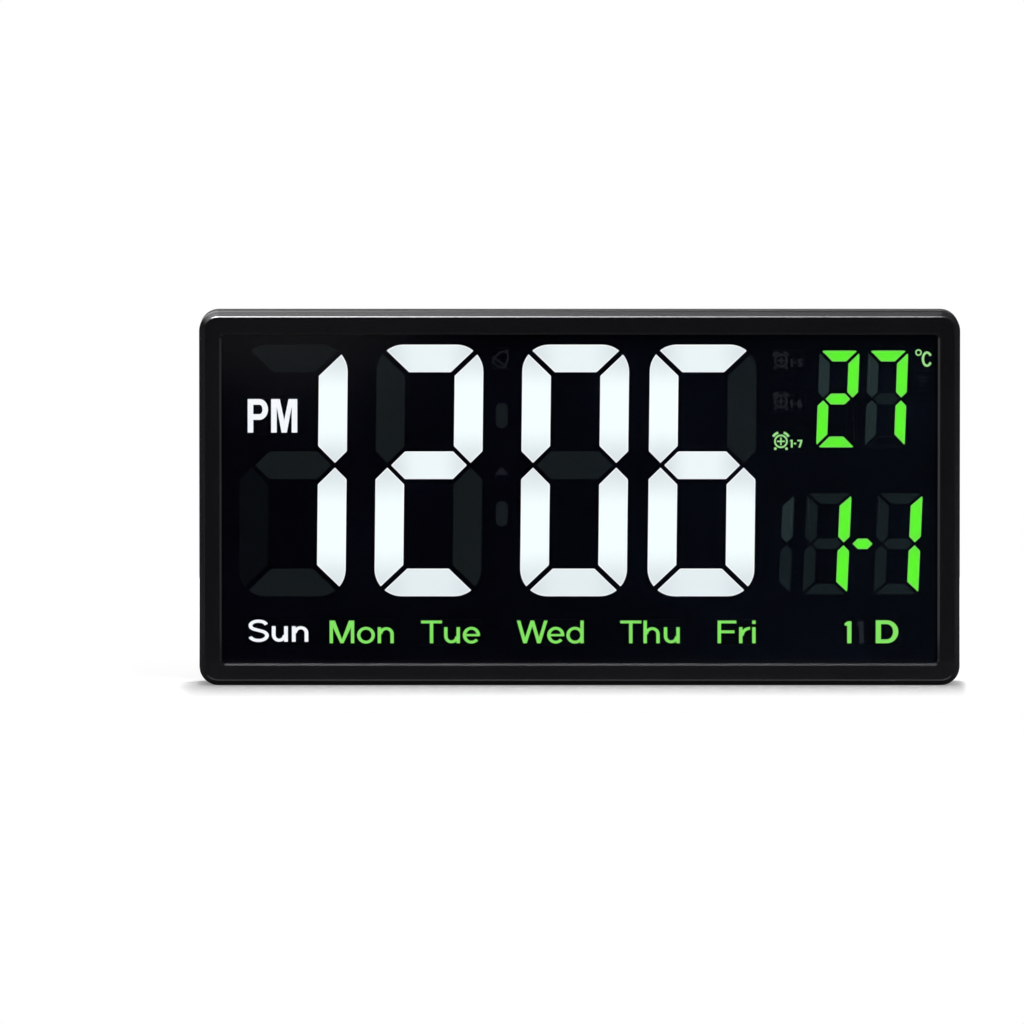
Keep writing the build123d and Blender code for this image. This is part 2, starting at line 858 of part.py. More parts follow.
# Tactile switches, each with a well for its plunger
with BuildPart() as tact_switches:
    with BuildSketch(level(board_back + switch_h)):
        with Locations(*button_places):
            Rectangle(switch_w, switch_w)
    extrude(amount=switch_h)
    with BuildSketch(level(board_back + switch_h)):
        with Locations(*button_places):
            Circle(plunger_d / 2 + plunger_fit)
    extrude(amount=plunger_seat + button_travel + plunger_floor_gap, mode=Mode.SUBTRACT)
tact_switches.part.label = "tact_switches"
export_step(tact_switches.part, "parts/tact_switches.step")

# Buttons: a dished cap with a flange behind the back wall, on a plunger of its own
flange_back = back_inner - button_rest_gap
flange_front = flange_back - button_flange_t
button_top = back_y - button_recess + button_rise
for name, place in zip(button_names, button_places):
    with BuildPart() as button:
        with BuildSketch(level(flange_back)):
            with Locations(place):
                Circle(button_d / 2 + button_flange)
        extrude(amount=button_flange_t)
        with BuildSketch(level(button_top)):
            with Locations(place):
                Circle(button_d / 2)
        extrude(amount=button_top - flange_back)
        fillet(button.edges().group_by(Axis.Y)[-1], button_edge)
    button.part.label = f"button_{name}"
    export_step(button.part, f"parts/button_{name}.step")
    with BuildPart() as plunger:
        with BuildSketch(level(flange_front)):
            with Locations(place):
                Circle(plunger_d / 2)
        extrude(amount=flange_front - board_back - switch_h + plunger_seat)
    plunger.part.label = f"plunger_{name}"
    export_step(plunger.part, f"parts/plunger_{name}.step")

# Cell holder: a round tray on the board
cell_front = board_back + holder_base_h + contact_t
holder_r = cell_d / 2 + cell_fit + holder_wall
with BuildPart() as cell_holder:
    with BuildSketch(level(cell_front + holder_rim_share * cell_h)):
        with Locations((cell_x, cell_rise)):
            Circle(holder_r)
    extrude(amount=cell_front + holder_rim_share * cell_h - board_back)
    with BuildSketch(level(cell_front + holder_rim_share * cell_h)):
        with Locations((cell_x, cell_rise)):
            Circle(cell_d / 2 + cell_fit)
    extrude(amount=holder_rim_share * cell_h + contact_t, mode=Mode.SUBTRACT)
cell_holder.part.label = "cell_holder"
export_step(cell_holder.part, "parts/cell_holder.step")

# Negative contact on the tray's floor
with BuildPart() as cell_contact:
    with BuildSketch(level(cell_front)):
        with Locations((cell_x, cell_rise)):
            Circle(contact_d / 2)
    extrude(amount=contact_t)
cell_contact.part.label = "cell_contact"
export_step(cell_contact.part, "parts/cell_contact.step")

# Coin cell: a narrower negative cap towards the board, the can behind it
with BuildPart() as coin_cell:
    with BuildSketch(level(cell_front + cell_h)):
        with Locations((cell_x, cell_rise)):
            Circle(cell_d / 2)
    extrude(amount=cell_h - cell_cap_h)
    with BuildSketch(level(cell_front + cell_cap_h)):
        with Locations((cell_x, cell_rise)):
            Circle(cell_cap_d / 2)
    extrude(amount=cell_cap_h)
coin_cell.part.label = "coin_cell"
export_step(coin_cell.part, "parts/coin_cell.step")

# Positive clip: a bent strip that rises from the board beside the tray and lies over the cell
clip_z = cell_rise + holder_r + clip_gap
clip_back = cell_front + cell_h + clip_t
with BuildPart() as cell_clip:
    with BuildSketch(Plane.YZ.offset(cell_x)):
        with Locations((board_back, clip_z)):
            Rectangle(clip_back - board_back, clip_t, align=Align.MIN)
        with Locations((clip_back, clip_z + clip_t)):
            Rectangle(clip_t, clip_t + clip_gap + holder_wall + clip_reach, align=Align.MAX)
    extrude(amount=clip_w / 2, both=True)
cell_clip.part.label = "cell_clip"
export_step(cell_clip.part, "parts/cell_clip.step")

# Bayonet cover of the cell: a shallow cap with a coin slot and lugs that turn in under the back wall
hatch_r = cell_d / 2 + hatch_margin
hatch_mouth_r = hatch_r + hatch_gap
lug_r = hatch_mouth_r + hatch_lug_reach
lug_back = back_inner - hatch_lug_gap
hatch_front = lug_back - hatch_lug_t
with BuildPart() as battery_cover:
    with BuildSketch(level(back_y)):
        with Locations((cell_x, cell_rise)):
            Circle(hatch_r)
    extrude(amount=back_y - hatch_front)
    with BuildSketch(level(lug_back)):
        with Locations((cell_x, cell_rise)):
            with PolarLocations(lug_r / 2, hatch_lugs):
                Rectangle(lug_r, hatch_lug_w)
            Circle(lug_r, mode=Mode.INTERSECT)
    extrude(amount=hatch_lug_t)
    with BuildSketch(level(back_y - hatch_skin)):
        with Locations((cell_x, cell_rise)):
            Circle(hatch_r - hatch_rim)
    extrude(amount=back_y - hatch_skin - hatch_front, mode=Mode.SUBTRACT)
    with BuildSketch(level(back_y)):
        with Locations((cell_x, cell_rise)):
            SlotOverall(coin_slot_l, coin_slot_w)
    extrude(amount=coin_slot_depth, mode=Mode.SUBTRACT)
battery_cover.part.label = "battery_cover"
export_step(battery_cover.part, "parts/battery_cover.step")

# Desk stand: a panel hollowed on its inner side, round at the top where it turns on two trunnions
recess_w = stand_w + 2 * stand_gap
recess_h = stand_h + 2 * stand_gap
recess_d = stand_t + stand_sink + stand_floor_gap
stand_y = back_y - stand_sink - stand_t / 2
stand_bottom = stand_rise + stand_gap
stand_axis_z = stand_bottom + stand_h - stand_t / 2
trunnion_reach = stand_w / 2 + stand_gap + trunnion_bite
with BuildPart() as fold_out_stand:
    with BuildSketch(Plane.YZ):
        with Locations((stand_y, stand_axis_z)):
            Circle(stand_t / 2)
            Rectangle(stand_t, stand_axis_z - stand_bottom, align=(Align.CENTER, Align.MAX))
    extrude(amount=stand_w / 2, both=True)
    fillet(fold_out_stand.edges().filter_by(Axis.Y).group_by(Axis.Z)[0], stand_corner_r)
    with BuildSketch(level(stand_y + stand_t / 2 - stand_skin)):
        with Locations((0, (stand_bottom + stand_axis_z) / 2)):
            RectangleRounded(
                stand_w - 2 * stand_rim,
                stand_axis_z - stand_bottom - 2 * stand_rim,
                stand_corner_r - stand_rim,
            )
    extrude(amount=stand_t - stand_skin, mode=Mode.SUBTRACT)
    with BuildSketch(Plane.YZ):
        with Locations((stand_y, stand_axis_z)):
            Circle(trunnion_d / 2)
    extrude(amount=trunnion_reach, both=True)
fold_out_stand.part.label = "fold_out_stand"
export_step(fold_out_stand.part, "parts/fold_out_stand.step")

# Rear cover: a rounded tray with everything that the back of the clock carries
pocket_middle_z = (pocket_h - overrun) / 2
keyhole_places = [(side * keyhole_spacing / 2, case_h - keyhole_drop) for side in (-1, 1)]
screw_seat_y = board_front + screw_seat_t
with BuildPart() as rear_cover:
    with BuildSketch(level(back_y)):
        with Locations((0, middle_z)):
            RectangleRounded(case_w, case_h, corner_r)
    extrude(amount=back_y - board_front)
    fillet(rear_cover.faces().sort_by(Axis.Y)[-1].edges(), back_round)
    chamfer(rear_cover.faces().sort_by(Axis.Y)[0].edges(), parting_groove)
    with BuildSketch(level(back_inner)):
        with Locations((0, middle_z)):
            RectangleRounded(case_w - 2 * wall, case_h - 2 * wall, corner_r - wall)
    extrude(amount=back_inner - board_front, mode=Mode.SUBTRACT)

    # Screw tubes down to the bezel's bosses, and posts down to the board
    with BuildSketch(level(back_inner)):
        with Locations(*screw_places):
            Circle(screw_tube_d / 2)
    extrude(amount=back_inner - board_front)
    with BuildSketch(level(back_inner)):
        with Locations(*post_places):
            Circle(post_d / 2)
    extrude(amount=rear_space)
    with BuildSketch(level(back_y)):
        with Locations(*screw_places):
            Circle(screw_head_d / 2 + screw_head_gap)
    extrude(amount=back_y - screw_seat_y, mode=Mode.SUBTRACT)
    with BuildSketch(level(back_y)):
        with Locations(*screw_places):
            Circle(screw_d / 2 + screw_fit)
    extrude(amount=back_y - board_front, mode=Mode.SUBTRACT)

    # Stand recess with a finger notch below it and a blind hole for each trunnion
    with BuildSketch(level(back_inner)):
        with Locations((0, stand_rise - recess_wall)):
            Rectangle(
                recess_w + 2 * recess_wall,
                recess_h + 2 * recess_wall,
                align=(Align.CENTER, Align.MIN),
            )
        with Locations((0, stand_rise)):
            Rectangle(notch_w + 2 * recess_wall, notch_h + recess_wall, align=(Align.CENTER, Align.MAX))
    extrude(amount=recess_d + recess_wall - back_wall)
    with BuildSketch(level(back_y)):
        with Locations((0, stand_rise)):
            Rectangle(recess_w, recess_h, align=(Align.CENTER, Align.MIN))
            Rectangle(notch_w, notch_h, align=(Align.CENTER, Align.MAX))
    extrude(amount=recess_d, mode=Mode.SUBTRACT)
    with BuildSketch(Plane.YZ):
        with Locations((stand_y, stand_axis_z)):
            Circle(trunnion_d / 2 + trunnion_fit)
    extrude(amount=trunnion_reach + trunnion_end_gap, both=True, mode=Mode.SUBTRACT)

    # Tube round the backup cell, and its bayonet mouth
    with BuildSketch(level(back_inner)):
        with Locations((cell_x, cell_rise)):
            Circle(lug_r + cell_tube_gap + cell_tube_wall)
    extrude(amount=rear_space)
    with BuildSketch(level(back_inner)):
        with Locations((cell_x, cell_rise)):
            Circle(lug_r + cell_tube_gap)
    extrude(amount=rear_space, mode=Mode.SUBTRACT)
    with BuildSketch(level(back_y)):
        with Locations((cell_x, cell_rise)):
            with PolarLocations(lug_r / 2, hatch_lugs, start_angle=-hatch_turn):
                Rectangle(lug_r, hatch_lug_w + 2 * hatch_gap)
            Circle(lug_r + hatch_gap, mode=Mode.INTERSECT)
            Circle(hatch_mouth_r)
    extrude(amount=back_wall, mode=Mode.SUBTRACT)

    # Plug pocket, open to the back and the bottom, with a hole up to the jack
    with BuildSketch(level(back_inner)):
        with Locations((jack_x, wall / 2)):
            Rectangle(pocket_w + 2 * pocket_wall, jack_z - wall / 2, align=(Align.CENTER, Align.MIN))
    extrude(amount=back_inner - board_back - board_gap)
    with BuildSketch(level(back_y + overrun)):
        with Locations((jack_x, pocket_middle_z)):
            Rectangle(pocket_w, pocket_h + overrun)
    extrude(amount=back_y + overrun - pocket_floor, mode=Mode.SUBTRACT)
    with BuildSketch(Plane.XY.offset(pocket_h)):
        with Locations((jack_x, jack_y)):
            Circle(plug_hole_d / 2)
    extrude(amount=pocket_wall, mode=Mode.SUBTRACT)

    # Button recess and holes
    with BuildSketch(level(back_y)):
        with Locations((colon_x, button_z)):
            SlotOverall(
                (len(button_names) - 1) * button_pitch + button_d + 2 * button_margin,
                button_d + 2 * button_margin,
            )
    extrude(amount=button_recess, mode=Mode.SUBTRACT)
    with BuildSketch(level(back_y)):
        with Locations(*button_places):
            Circle(button_d / 2 + button_gap)
    extrude(amount=back_wall, mode=Mode.SUBTRACT)

    # Keyholes, sound holes and vents
    with BuildSketch(level(back_y)):
        with Locations(*keyhole_places):
            Circle(keyhole_d / 2)
            with Locations((0, keyhole_slot_l / 2)):
                SlotCenterToCenter(keyhole_slot_l, keyhole_slot_w, rotation=90)
        with Locations((jack_x, buzzer_rise)):
            Circle(sound_hole_d / 2)
            with PolarLocations(sound_hole_ring_r, sound_holes):
                Circle(sound_hole_d / 2)
        with Locations((cell_x, sensor_rise)):
            with GridLocations(vent_pitch, 0, vents, 1):
                SlotOverall(vent_h, vent_w, rotation=90)
    extrude(amount=back_wall, mode=Mode.SUBTRACT)
rear_cover.part.label = "rear_cover"
export_step(rear_cover.part, "parts/rear_cover.step")

# Case screws: heads on the seats deep in the tubes, shanks in the bezel's bosses
with BuildPart() as case_screws:
    with BuildSketch(level(screw_seat_y)):
        with Locations(*screw_places):
            Circle(screw_d / 2)
    extrude(amount=screw_seat_t + screw_bite)
    with BuildSketch(level(screw_seat_y + screw_head_h)):
        with Locations(*screw_places):
            Circle(screw_head_d / 2)
    extrude(amount=screw_head_h)
case_screws.part.label = "case_screws"
export_step(case_screws.part, "parts/case_screws.step")
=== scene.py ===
import math

import bmesh
import bpy
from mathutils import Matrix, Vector
from mathutils.geometry import delaunay_2d_cdt


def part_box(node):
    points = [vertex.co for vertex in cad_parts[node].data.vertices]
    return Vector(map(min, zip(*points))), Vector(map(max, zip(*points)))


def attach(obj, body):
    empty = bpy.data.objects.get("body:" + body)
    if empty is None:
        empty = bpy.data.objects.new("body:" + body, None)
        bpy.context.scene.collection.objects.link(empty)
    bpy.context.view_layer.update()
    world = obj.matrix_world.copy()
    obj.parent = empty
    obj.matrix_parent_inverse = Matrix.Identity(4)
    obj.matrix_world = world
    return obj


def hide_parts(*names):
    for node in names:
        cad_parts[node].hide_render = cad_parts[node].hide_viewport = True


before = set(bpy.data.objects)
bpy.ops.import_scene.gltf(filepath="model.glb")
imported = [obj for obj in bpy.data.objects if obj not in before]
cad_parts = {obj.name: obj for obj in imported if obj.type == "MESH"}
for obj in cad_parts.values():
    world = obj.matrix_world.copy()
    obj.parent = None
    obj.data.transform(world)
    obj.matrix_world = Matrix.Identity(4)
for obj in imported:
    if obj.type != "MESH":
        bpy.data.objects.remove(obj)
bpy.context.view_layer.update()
scene = bpy.context.scene
mm = 0.001


# Node trees

class Term:
    """A node's output that can stand in arithmetic. Each operator adds a Math node."""

    def __init__(self, graph, socket):
        self.graph = graph
        self.socket = socket

    def output(self, name):
        return Term(self.graph, self.socket.node.outputs[name])

    def maths(self, operation, *values):
        return self.graph.node("ShaderNodeMath", {"operation": operation}, dict(enumerate(values)))

    def __add__(self, other):
        return self.maths("ADD", self, other)

    def __radd__(self, other):
        return self.maths("ADD", other, self)

    def __sub__(self, other):
        return self.maths("SUBTRACT", self, other)

    def __rsub__(self, other):
        return self.maths("SUBTRACT", other, self)

    def __mul__(self, other):
        return self.maths("MULTIPLY", self, other)

    def __rmul__(self, other):
        return self.maths("MULTIPLY", other, self)

    def __lt__(self, edge):
        return self.maths("LESS_THAN", self, edge)

    def __gt__(self, edge):
        return self.maths("GREATER_THAN", self, edge)

    def __abs__(self):
        return self.maths("ABSOLUTE", self)

    def larger(self, other):
        return self.maths("MAXIMUM", self, other)

    def rise(self, low, high):
        """0 below low, 1 above high and a smooth step between."""
        return self.graph.node("ShaderNodeMapRange", {"interpolation_type": "SMOOTHSTEP"},
                               {"Value": self, "From Min": low, "From Max": high})


class Graph:
    """A node tree that expressions add to."""

    def __init__(self, tree):
        self.tree = tree
        self.tree.nodes.clear()

    def node(self, kind, settings=None, sockets=None, output=0):
        """Adds a node, makes its settings, then sets or links its sockets."""
        made = self.tree.nodes.new(kind)
        for name, value in (settings or {}).items():
            setattr(made, name, value)
        for name, value in (sockets or {}).items():
            for one in value if isinstance(value, list) else [value]:
                if isinstance(one, Term):
                    self.tree.links.new(one.socket, made.inputs[name])
                else:
                    made.inputs[name].default_value = one
        return Term(self, made.outputs[output]) if made.outputs else None


class Finish(Graph):
    """The material of one of the clock's surfaces."""

    def __init__(self, name):
        self.material = bpy.data.materials.new(name)
        self.material.use_nodes = True
        super().__init__(self.material.node_tree)
        self.place = self.node("ShaderNodeTexCoord", output="Object")

    def parts(self, vector):
        split = self.node("ShaderNodeSeparateXYZ", sockets={0: vector})
        return split.output("X"), split.output("Y"), split.output("Z")

    def stretched(self, x, y, z):
        """The place with each axis scaled, for grain that runs one way."""
        return self.node("ShaderNodeVectorMath", {"operation": "MULTIPLY"}, {0: self.place, 1: (x, y, z)})

    def grain(self, size, detail=2.0, rough=0.5, place=None):
        """Soft spots about as wide as size, from 0 to 1."""
        return self.node("ShaderNodeTexNoise", sockets={
            "Vector": place or self.place, "Scale": 1 / size, "Detail": detail, "Roughness": rough}, output="Fac")

    def mark(self, name):
        """A value that the mesh carries on its vertices."""
        return self.node("ShaderNodeAttribute", {"attribute_name": name}, output="Fac")

    def mix(self, share, first, second):
        """A colour between two others."""
        return self.node("ShaderNodeMix", {"data_type": "RGBA"}, {0: share, 6: first, 7: second}, 2)

    def bump(self, height, depth):
        return self.node("ShaderNodeBump", sockets={"Height": height, "Distance": depth, "Strength": 1.0})

    def surface(self, **sockets):
        named = {name.replace("_", " ").title().replace("Ior", "IOR"): value for name, value in sockets.items()}
        shader = self.node("ShaderNodeBsdfPrincipled", sockets=named)
        self.node("ShaderNodeOutputMaterial", sockets={"Surface": shader})
        return self.material


def tone(red, green, blue):
    return (red, green, blue, 1.0)


# Finishes of the case

def gloss_moulding():
    finish = Finish("gloss_black_moulding")
    cloud = finish.grain(22 * mm, 3.0)
    skin = finish.grain(0.7 * mm, 2.0)
    return finish.surface(
        base_color=finish.mix(cloud, tone(0.0085, 0.0085, 0.0105), tone(0.0120, 0.0120, 0.0150)),
        roughness=0.20 + 0.06 * cloud + 0.03 * skin,
        coat_weight=0.75 + 0.20 * cloud,
        coat_roughness=0.06,
        normal=finish.bump(skin, 0.001 * mm))


def textured_moulding(name, light):
    """Black moulding with the fine matt texture of a spark-eroded mould."""
    finish = Finish(name)
    cloud = finish.grain(30 * mm, 3.0)
    pits = finish.grain(0.55 * mm, 3.0, 0.6)
    shade = light * 0.85
    return finish.surface(
        base_color=finish.mix(cloud, tone(shade, shade, shade * 1.08), tone(light, light, light * 1.06)),
        roughness=0.46 + 0.14 * cloud + 0.10 * pits,
        normal=finish.bump(pits, 0.05 * mm))


def smoked_panel():
    finish = Finish("smoked_clear_panel")
    wave = finish.grain(60 * mm, 2.0)
    return finish.surface(
        base_color=finish.mix(wave, tone(0.84, 0.85, 0.86), tone(0.87, 0.88, 0.89)),
        roughness=0.02 + 0.02 * wave,
        transmission_weight=1.0,
        ior=1.49)


def blue_black_with_painted_light(finish):
    """Blue-black, with painted light making it a little paler towards the right."""
    x = finish.parts(finish.place)[0]
    # Painted light: the right side is made paler by place; the grain is random tone.
    share = x.rise(-0.05, 0.13) * (0.8 + 0.4 * finish.grain(25 * mm, 3.0))
    return finish.mix(share, tone(0.0022, 0.0038, 0.0160), tone(0.0066, 0.0125, 0.0290))


def light_box_moulding():
    finish = Finish("matt_black_light_box")
    pits = finish.grain(0.6 * mm, 2.0)
    return finish.surface(
        base_color=blue_black_with_painted_light(finish),
        roughness=0.55 + 0.12 * pits,
        specular_ior_level=0.1,
        normal=finish.bump(pits, 0.03 * mm))


# Finishes of the display's windows

def milky(finish, haze, light, strength):
    """Milky resin with light coming through it."""
    return finish.surface(
        base_color=finish.mix(haze, tone(0.035, 0.040, 0.040), tone(0.050, 0.055, 0.055)),
        roughness=0.45 + 0.1 * haze,
        emission_color=light,
        emission_strength=strength)


def lit_window(name, core, end, edge, strength):
    """A window with lamps behind it: core in its middle, end towards its ends by its share, edge along its rim."""
    finish = Finish(name)
    along = finish.parts(finish.node("ShaderNodeUVMap", {"uv_map": "window"}))[0]
    far = abs(2 * along - 1)
    haze = finish.grain(9 * mm, 2.0)
    fall = 1 - finish.mark("share") * (1 - far.rise(0.30, 1.05) * (0.85 + 0.3 * haze))
    light = finish.mix(finish.mark("rim") * (0.75 + 0.25 * haze), finish.mix(fall, core, end), edge)
    return milky(finish, haze, light, strength)


def lit_sign(name, core, edge, strength):
    """A printed word or sign with a lamp behind it."""
    finish = Finish(name)
    haze = finish.grain(7 * mm, 2.0)
    light = finish.mix(finish.mark("rim") * (0.7 + 0.3 * haze), core, edge)
    return milky(finish, haze, light, strength)


def dark_window(name, light):
    """A window or sign with its lamps off, which takes its share of stray light as a painted glow."""
    finish = Finish(name)
    haze = finish.grain(40 * mm, 2.0)
    pits = finish.grain(0.7 * mm, 2.0)
    # Painted light: the stray glow of an unlit window or sign, set by its share.
    stray = finish.mix(finish.mark("share") * (0.85 + 0.3 * haze), tone(0.0, 0.0, 0.0), light)
    return finish.surface(
        base_color=blue_black_with_painted_light(finish),
        roughness=0.4 + 0.15 * pits,
        specular_ior_level=0.1,
        emission_color=stray,
        emission_strength=1.0)


def sign_mask():
    """The black print round the words and signs."""
    finish = Finish("black_mask_print")
    pits = finish.grain(0.4 * mm, 2.0)
    return finish.surface(
        base_color=blue_black_with_painted_light(finish),
        roughness=0.55 + 0.12 * pits,
        specular_ior_level=0.1)


# Finishes inside the case

def solder_mask():
    finish = Finish("green_solder_mask")
    x, z = finish.parts(finish.place)[::2]
    weave = finish.grain(1.2 * mm, 2.0)
    lanes = finish.node("ShaderNodeTexBrick", {"offset": 0.37, "squash": 1.0}, {
        "Vector": finish.node("ShaderNodeCombineXYZ", sockets={0: x, 1: z, 2: 0.0}), "Scale": 1.0,
        "Mortar Size": 0.25 * mm, "Mortar Smooth": 0.1, "Brick Width": 23 * mm, "Row Height": 2.6 * mm},
        output="Fac")
    return finish.surface(
        base_color=finish.mix(lanes, finish.mix(weave, tone(0.010, 0.105, 0.040), tone(0.014, 0.125, 0.048)),
                              tone(0.030, 0.210, 0.070)),
        roughness=0.28 + 0.10 * weave,
        normal=finish.bump(lanes, 0.03 * mm))


def lamp_package(name, body, lens):
    """A small surface-mounted lamp: a pale body with its lens in front."""
    finish = Finish(name)
    y = finish.parts(finish.place)[1]
    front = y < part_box("white_leds")[0].y + 0.15 * mm
    haze = finish.grain(0.9 * mm, 2.0)
    return finish.surface(
        base_color=finish.mix(front * (0.7 + 0.3 * haze), body, lens),
        roughness=0.35 - 0.15 * front + 0.05 * haze)


def leaded_package(name, node, lead_height):
    """A black moulded package with bright leads along the board."""
    finish = Finish(name)
    y = finish.parts(finish.place)[1]
    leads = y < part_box(node)[0].y + lead_height
    pits = finish.grain(0.3 * mm, 3.0)
    body = finish.mix(pits, tone(0.018, 0.018, 0.019), tone(0.030, 0.030, 0.031))
    return finish.surface(
        base_color=finish.mix(leads, body, tone(0.62, 0.61, 0.58)),
        metallic=leads,
        roughness=0.55 - 0.25 * leads + 0.1 * pits,
        normal=finish.bump(pits, 0.01 * mm))


def capped_switch():
    finish = Finish("switch_body_and_plate")
    y = finish.parts(finish.place)[1]
    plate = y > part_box("tact_switches")[1].y - 0.35 * mm
    pits = finish.grain(0.35 * mm, 3.0)
    return finish.surface(
        base_color=finish.mix(plate, finish.mix(pits, tone(0.016, 0.016, 0.017), tone(0.026, 0.026, 0.027)),
                              tone(0.58, 0.57, 0.55)),
        metallic=plate,
        roughness=0.5 - 0.2 * plate + 0.1 * pits)


def capacitor_can():
    finish = Finish("aluminium_can_on_base")
    x, y = finish.parts(finish.place)[:2]
    low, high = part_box("filter_capacitors")
    base = y < low.y + 1.2 * mm
    mark = (y > high.y - 0.2 * mm) * (x < low.x + 2.2 * mm)
    dark = base.larger(mark)
    brushed = finish.grain(0.25 * mm, 3.0, 0.6, finish.stretched(1.0, 0.08, 1.0))
    return finish.surface(
        base_color=finish.mix(dark, finish.mix(brushed, tone(0.62, 0.62, 0.63), tone(0.78, 0.78, 0.79)),
                              tone(0.015, 0.015, 0.016)),
        metallic=1 - dark,
        roughness=0.26 + 0.14 * brushed + 0.2 * dark)


def plated_metal(name, low, high, rough):
    """Plated metal with faint drawing marks."""
    finish = Finish(name)
    brushed = finish.grain(0.22 * mm, 3.0, 0.6, finish.stretched(0.12, 1.0, 1.0))
    cloud = finish.grain(6 * mm, 2.0)
    return finish.surface(
        base_color=finish.mix(cloud, low, high),
        metallic=1.0,
        roughness=rough + 0.12 * brushed + 0.05 * cloud,
        normal=finish.bump(brushed, 0.004 * mm))


def dark_resin():
    finish = Finish("dark_infrared_resin")
    cloud = finish.grain(2 * mm, 2.0)
    return finish.surface(
        base_color=finish.mix(cloud, tone(0.0040, 0.0035, 0.0045), tone(0.0060, 0.0050, 0.0065)),
        roughness=0.25 + 0.10 * cloud,
        specular_ior_level=0.25)


def satin_button():
    finish = Finish("satin_grey_button")
    cloud = finish.grain(5 * mm, 2.0)
    skin = finish.grain(0.35 * mm, 2.0)
    return finish.surface(
        base_color=finish.mix(cloud, tone(0.042, 0.042, 0.046), tone(0.054, 0.054, 0.058)),
        roughness=0.38 + 0.08 * cloud + 0.06 * skin,
        normal=finish.bump(skin, 0.012 * mm))


# Meshes

def place_piece(name, mesh, body, slot, *nodes):
    """Puts a finished mesh on its body in place of the CAD nodes that it stands for."""
    piece = bpy.data.objects.new(name, mesh)
    scene.collection.objects.link(piece)
    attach(piece, body)
    if nodes:
        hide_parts(*nodes)


def finished_mesh(name, shape, *finishes):
    mesh = bpy.data.meshes.new(name)
    shape.to_mesh(mesh)
    shape.free()
    for finish in finishes:
        mesh.materials.append(finish)
    return mesh


def merged_copy(node):
    """A CAD node's shape with its loose triangles joined into plain faces."""
    shape = bmesh.new()
    shape.from_mesh(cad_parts[node].data)
    bmesh.ops.remove_doubles(shape, verts=shape.verts, dist=0.001 * mm)
    bmesh.ops.dissolve_limit(shape, angle_limit=math.radians(0.5), verts=shape.verts, edges=shape.edges)
    for face in shape.faces:
        face.smooth = False
    return shape


def islands(shape):
    """The separate solids of a shape, as lists of faces."""
    left = set(shape.faces)
    found = []
    while left:
        reach = [left.pop()]
        for face in reach:
            near = {other for edge in face.edges for other in edge.link_faces} & left
            left -= near
            reach.extend(near)
        found.append(reach)
    return found


def island_box(faces):
    points = [vert.co for face in faces for vert in face.verts]
    low = Vector([min(point[i] for point in points) for i in range(3)])
    high = Vector([max(point[i] for point in points) for i in range(3)])
    return low, high


def node_boxes(node):
    """The boxes of a node's separate solids, from left to right and bottom to top."""
    shape = merged_copy(node)
    boxes = [island_box(faces) for faces in islands(shape)]
    shape.free()
    return sorted(boxes, key=lambda box: (round(box[0].x / mm), box[0].z))


def add_rim(shape, width):
    """Insets the front faces and marks their outer edge with 1."""
    faces = [face for face in shape.faces if face.normal.y < -0.9]
    bmesh.ops.inset_region(shape, faces=faces, thickness=width, use_even_offset=True, use_boundary=True)
    layer = shape.verts.layers.float.new("rim")
    for vert in shape.verts:
        vert[layer] = float(any(abs(face.normal.y) < 0.5 for face in vert.link_faces))


# The display's windows

window_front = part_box("weekday_windows")[0].y
window_set_back = 0.12 * mm
sign_back = 0.60 * mm
panel_gap = 0.1 * mm
plane_slack = 0.1 * mm
narrow_digit = 12 * mm

# How much light a segment shows where that isn't the usual share: lit ones by letter, unlit ones by digit, whose
# light is a painted glow
lit_shares = {"a": 0.58, "g": 0.68, "d": 0.36}
stray_shares = {
    "hour_tens_segments": {"a": 0.35, "e": 0.15}, "temperature_tens_segments": {"f": 1.0, "c": 0.0},
    "temperature_units_segments": {"f": 0.9, "e": 0.8, "g": 0.32, "d": 0.02}, "date_half_segments": {"b": 0.85}}


def segment_letter(middle, low, high):
    """Which of a digit's seven segments is at this place in its box."""
    across = (middle.x - low.x) / (high.x - low.x)
    up = (middle.z - low.z) / (high.z - low.z)
    if high.x - low.x < narrow_digit:
        return "b" if up > 0.5 else "c"
    if 0.3 < across < 0.7:
        return "a" if up > 0.8 else "d" if up < 0.2 else "g"
    if across > 0.5:
        return "b" if up > 0.5 else "c"
    return "f" if up > 0.5 else "e"


def set_back(shape):
    """Moves the front of windows a little into their wells."""
    for vert in shape.verts:
        if vert.co.y < window_front + plane_slack:
            vert.co.y += window_set_back


def window_piece(node, lit_segments, stray, dark_finish, lit_finish, slot, rim):
    """A digit's windows, each lit or dark, a little behind the panel."""
    shape = merged_copy(node)
    node_low, node_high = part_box(node)
    lengthwise = shape.loops.layers.uv.new("window")
    share = shape.verts.layers.float.new("share")
    dark_shares = stray_shares.get(node, {})
    for faces in islands(shape):
        low, high = island_box(faces)
        letter = segment_letter((low + high) / 2, node_low, node_high)
        lit = letter in lit_segments
        light = lit_shares.get(letter, 1.0) if lit else dark_shares.get(letter, stray)
        size = high - low
        upright = size.z > size.x
        for face in faces:
            face.material_index = int(lit)
            for vert in face.verts:
                vert[share] = light
            for loop in face.loops:
                place = ((loop.vert.co.x - low.x) / size.x, (loop.vert.co.z - low.z) / size.z)
                loop[lengthwise].uv = place[::-1] if upright else place
    set_back(shape)
    add_rim(shape, rim)
    mesh = finished_mesh(node + "_lit", shape, dark_finish, lit_finish)
    place_piece(node + "_lit", mesh, "clock", slot, node)


def mask_piece(name, node, finish, slot):
    """The black print that fills the windows of words and signs round their letters."""
    shape = merged_copy(node)
    set_back(shape)
    place_piece(name, finished_mesh(name, shape, finish), "clock", slot, node)


def panel_piece(name, finish):
    """The smoked panel, with a thin air gap to the windows behind it."""
    shape = merged_copy("front_lens")
    for vert in shape.verts:
        if vert.co.y > window_front - plane_slack:
            vert.co.y -= panel_gap
    place_piece(name, finished_mesh(name, shape, finish), "clock", "lens", "front_lens")


# Outlines of letters, in letter heights, and of words and signs

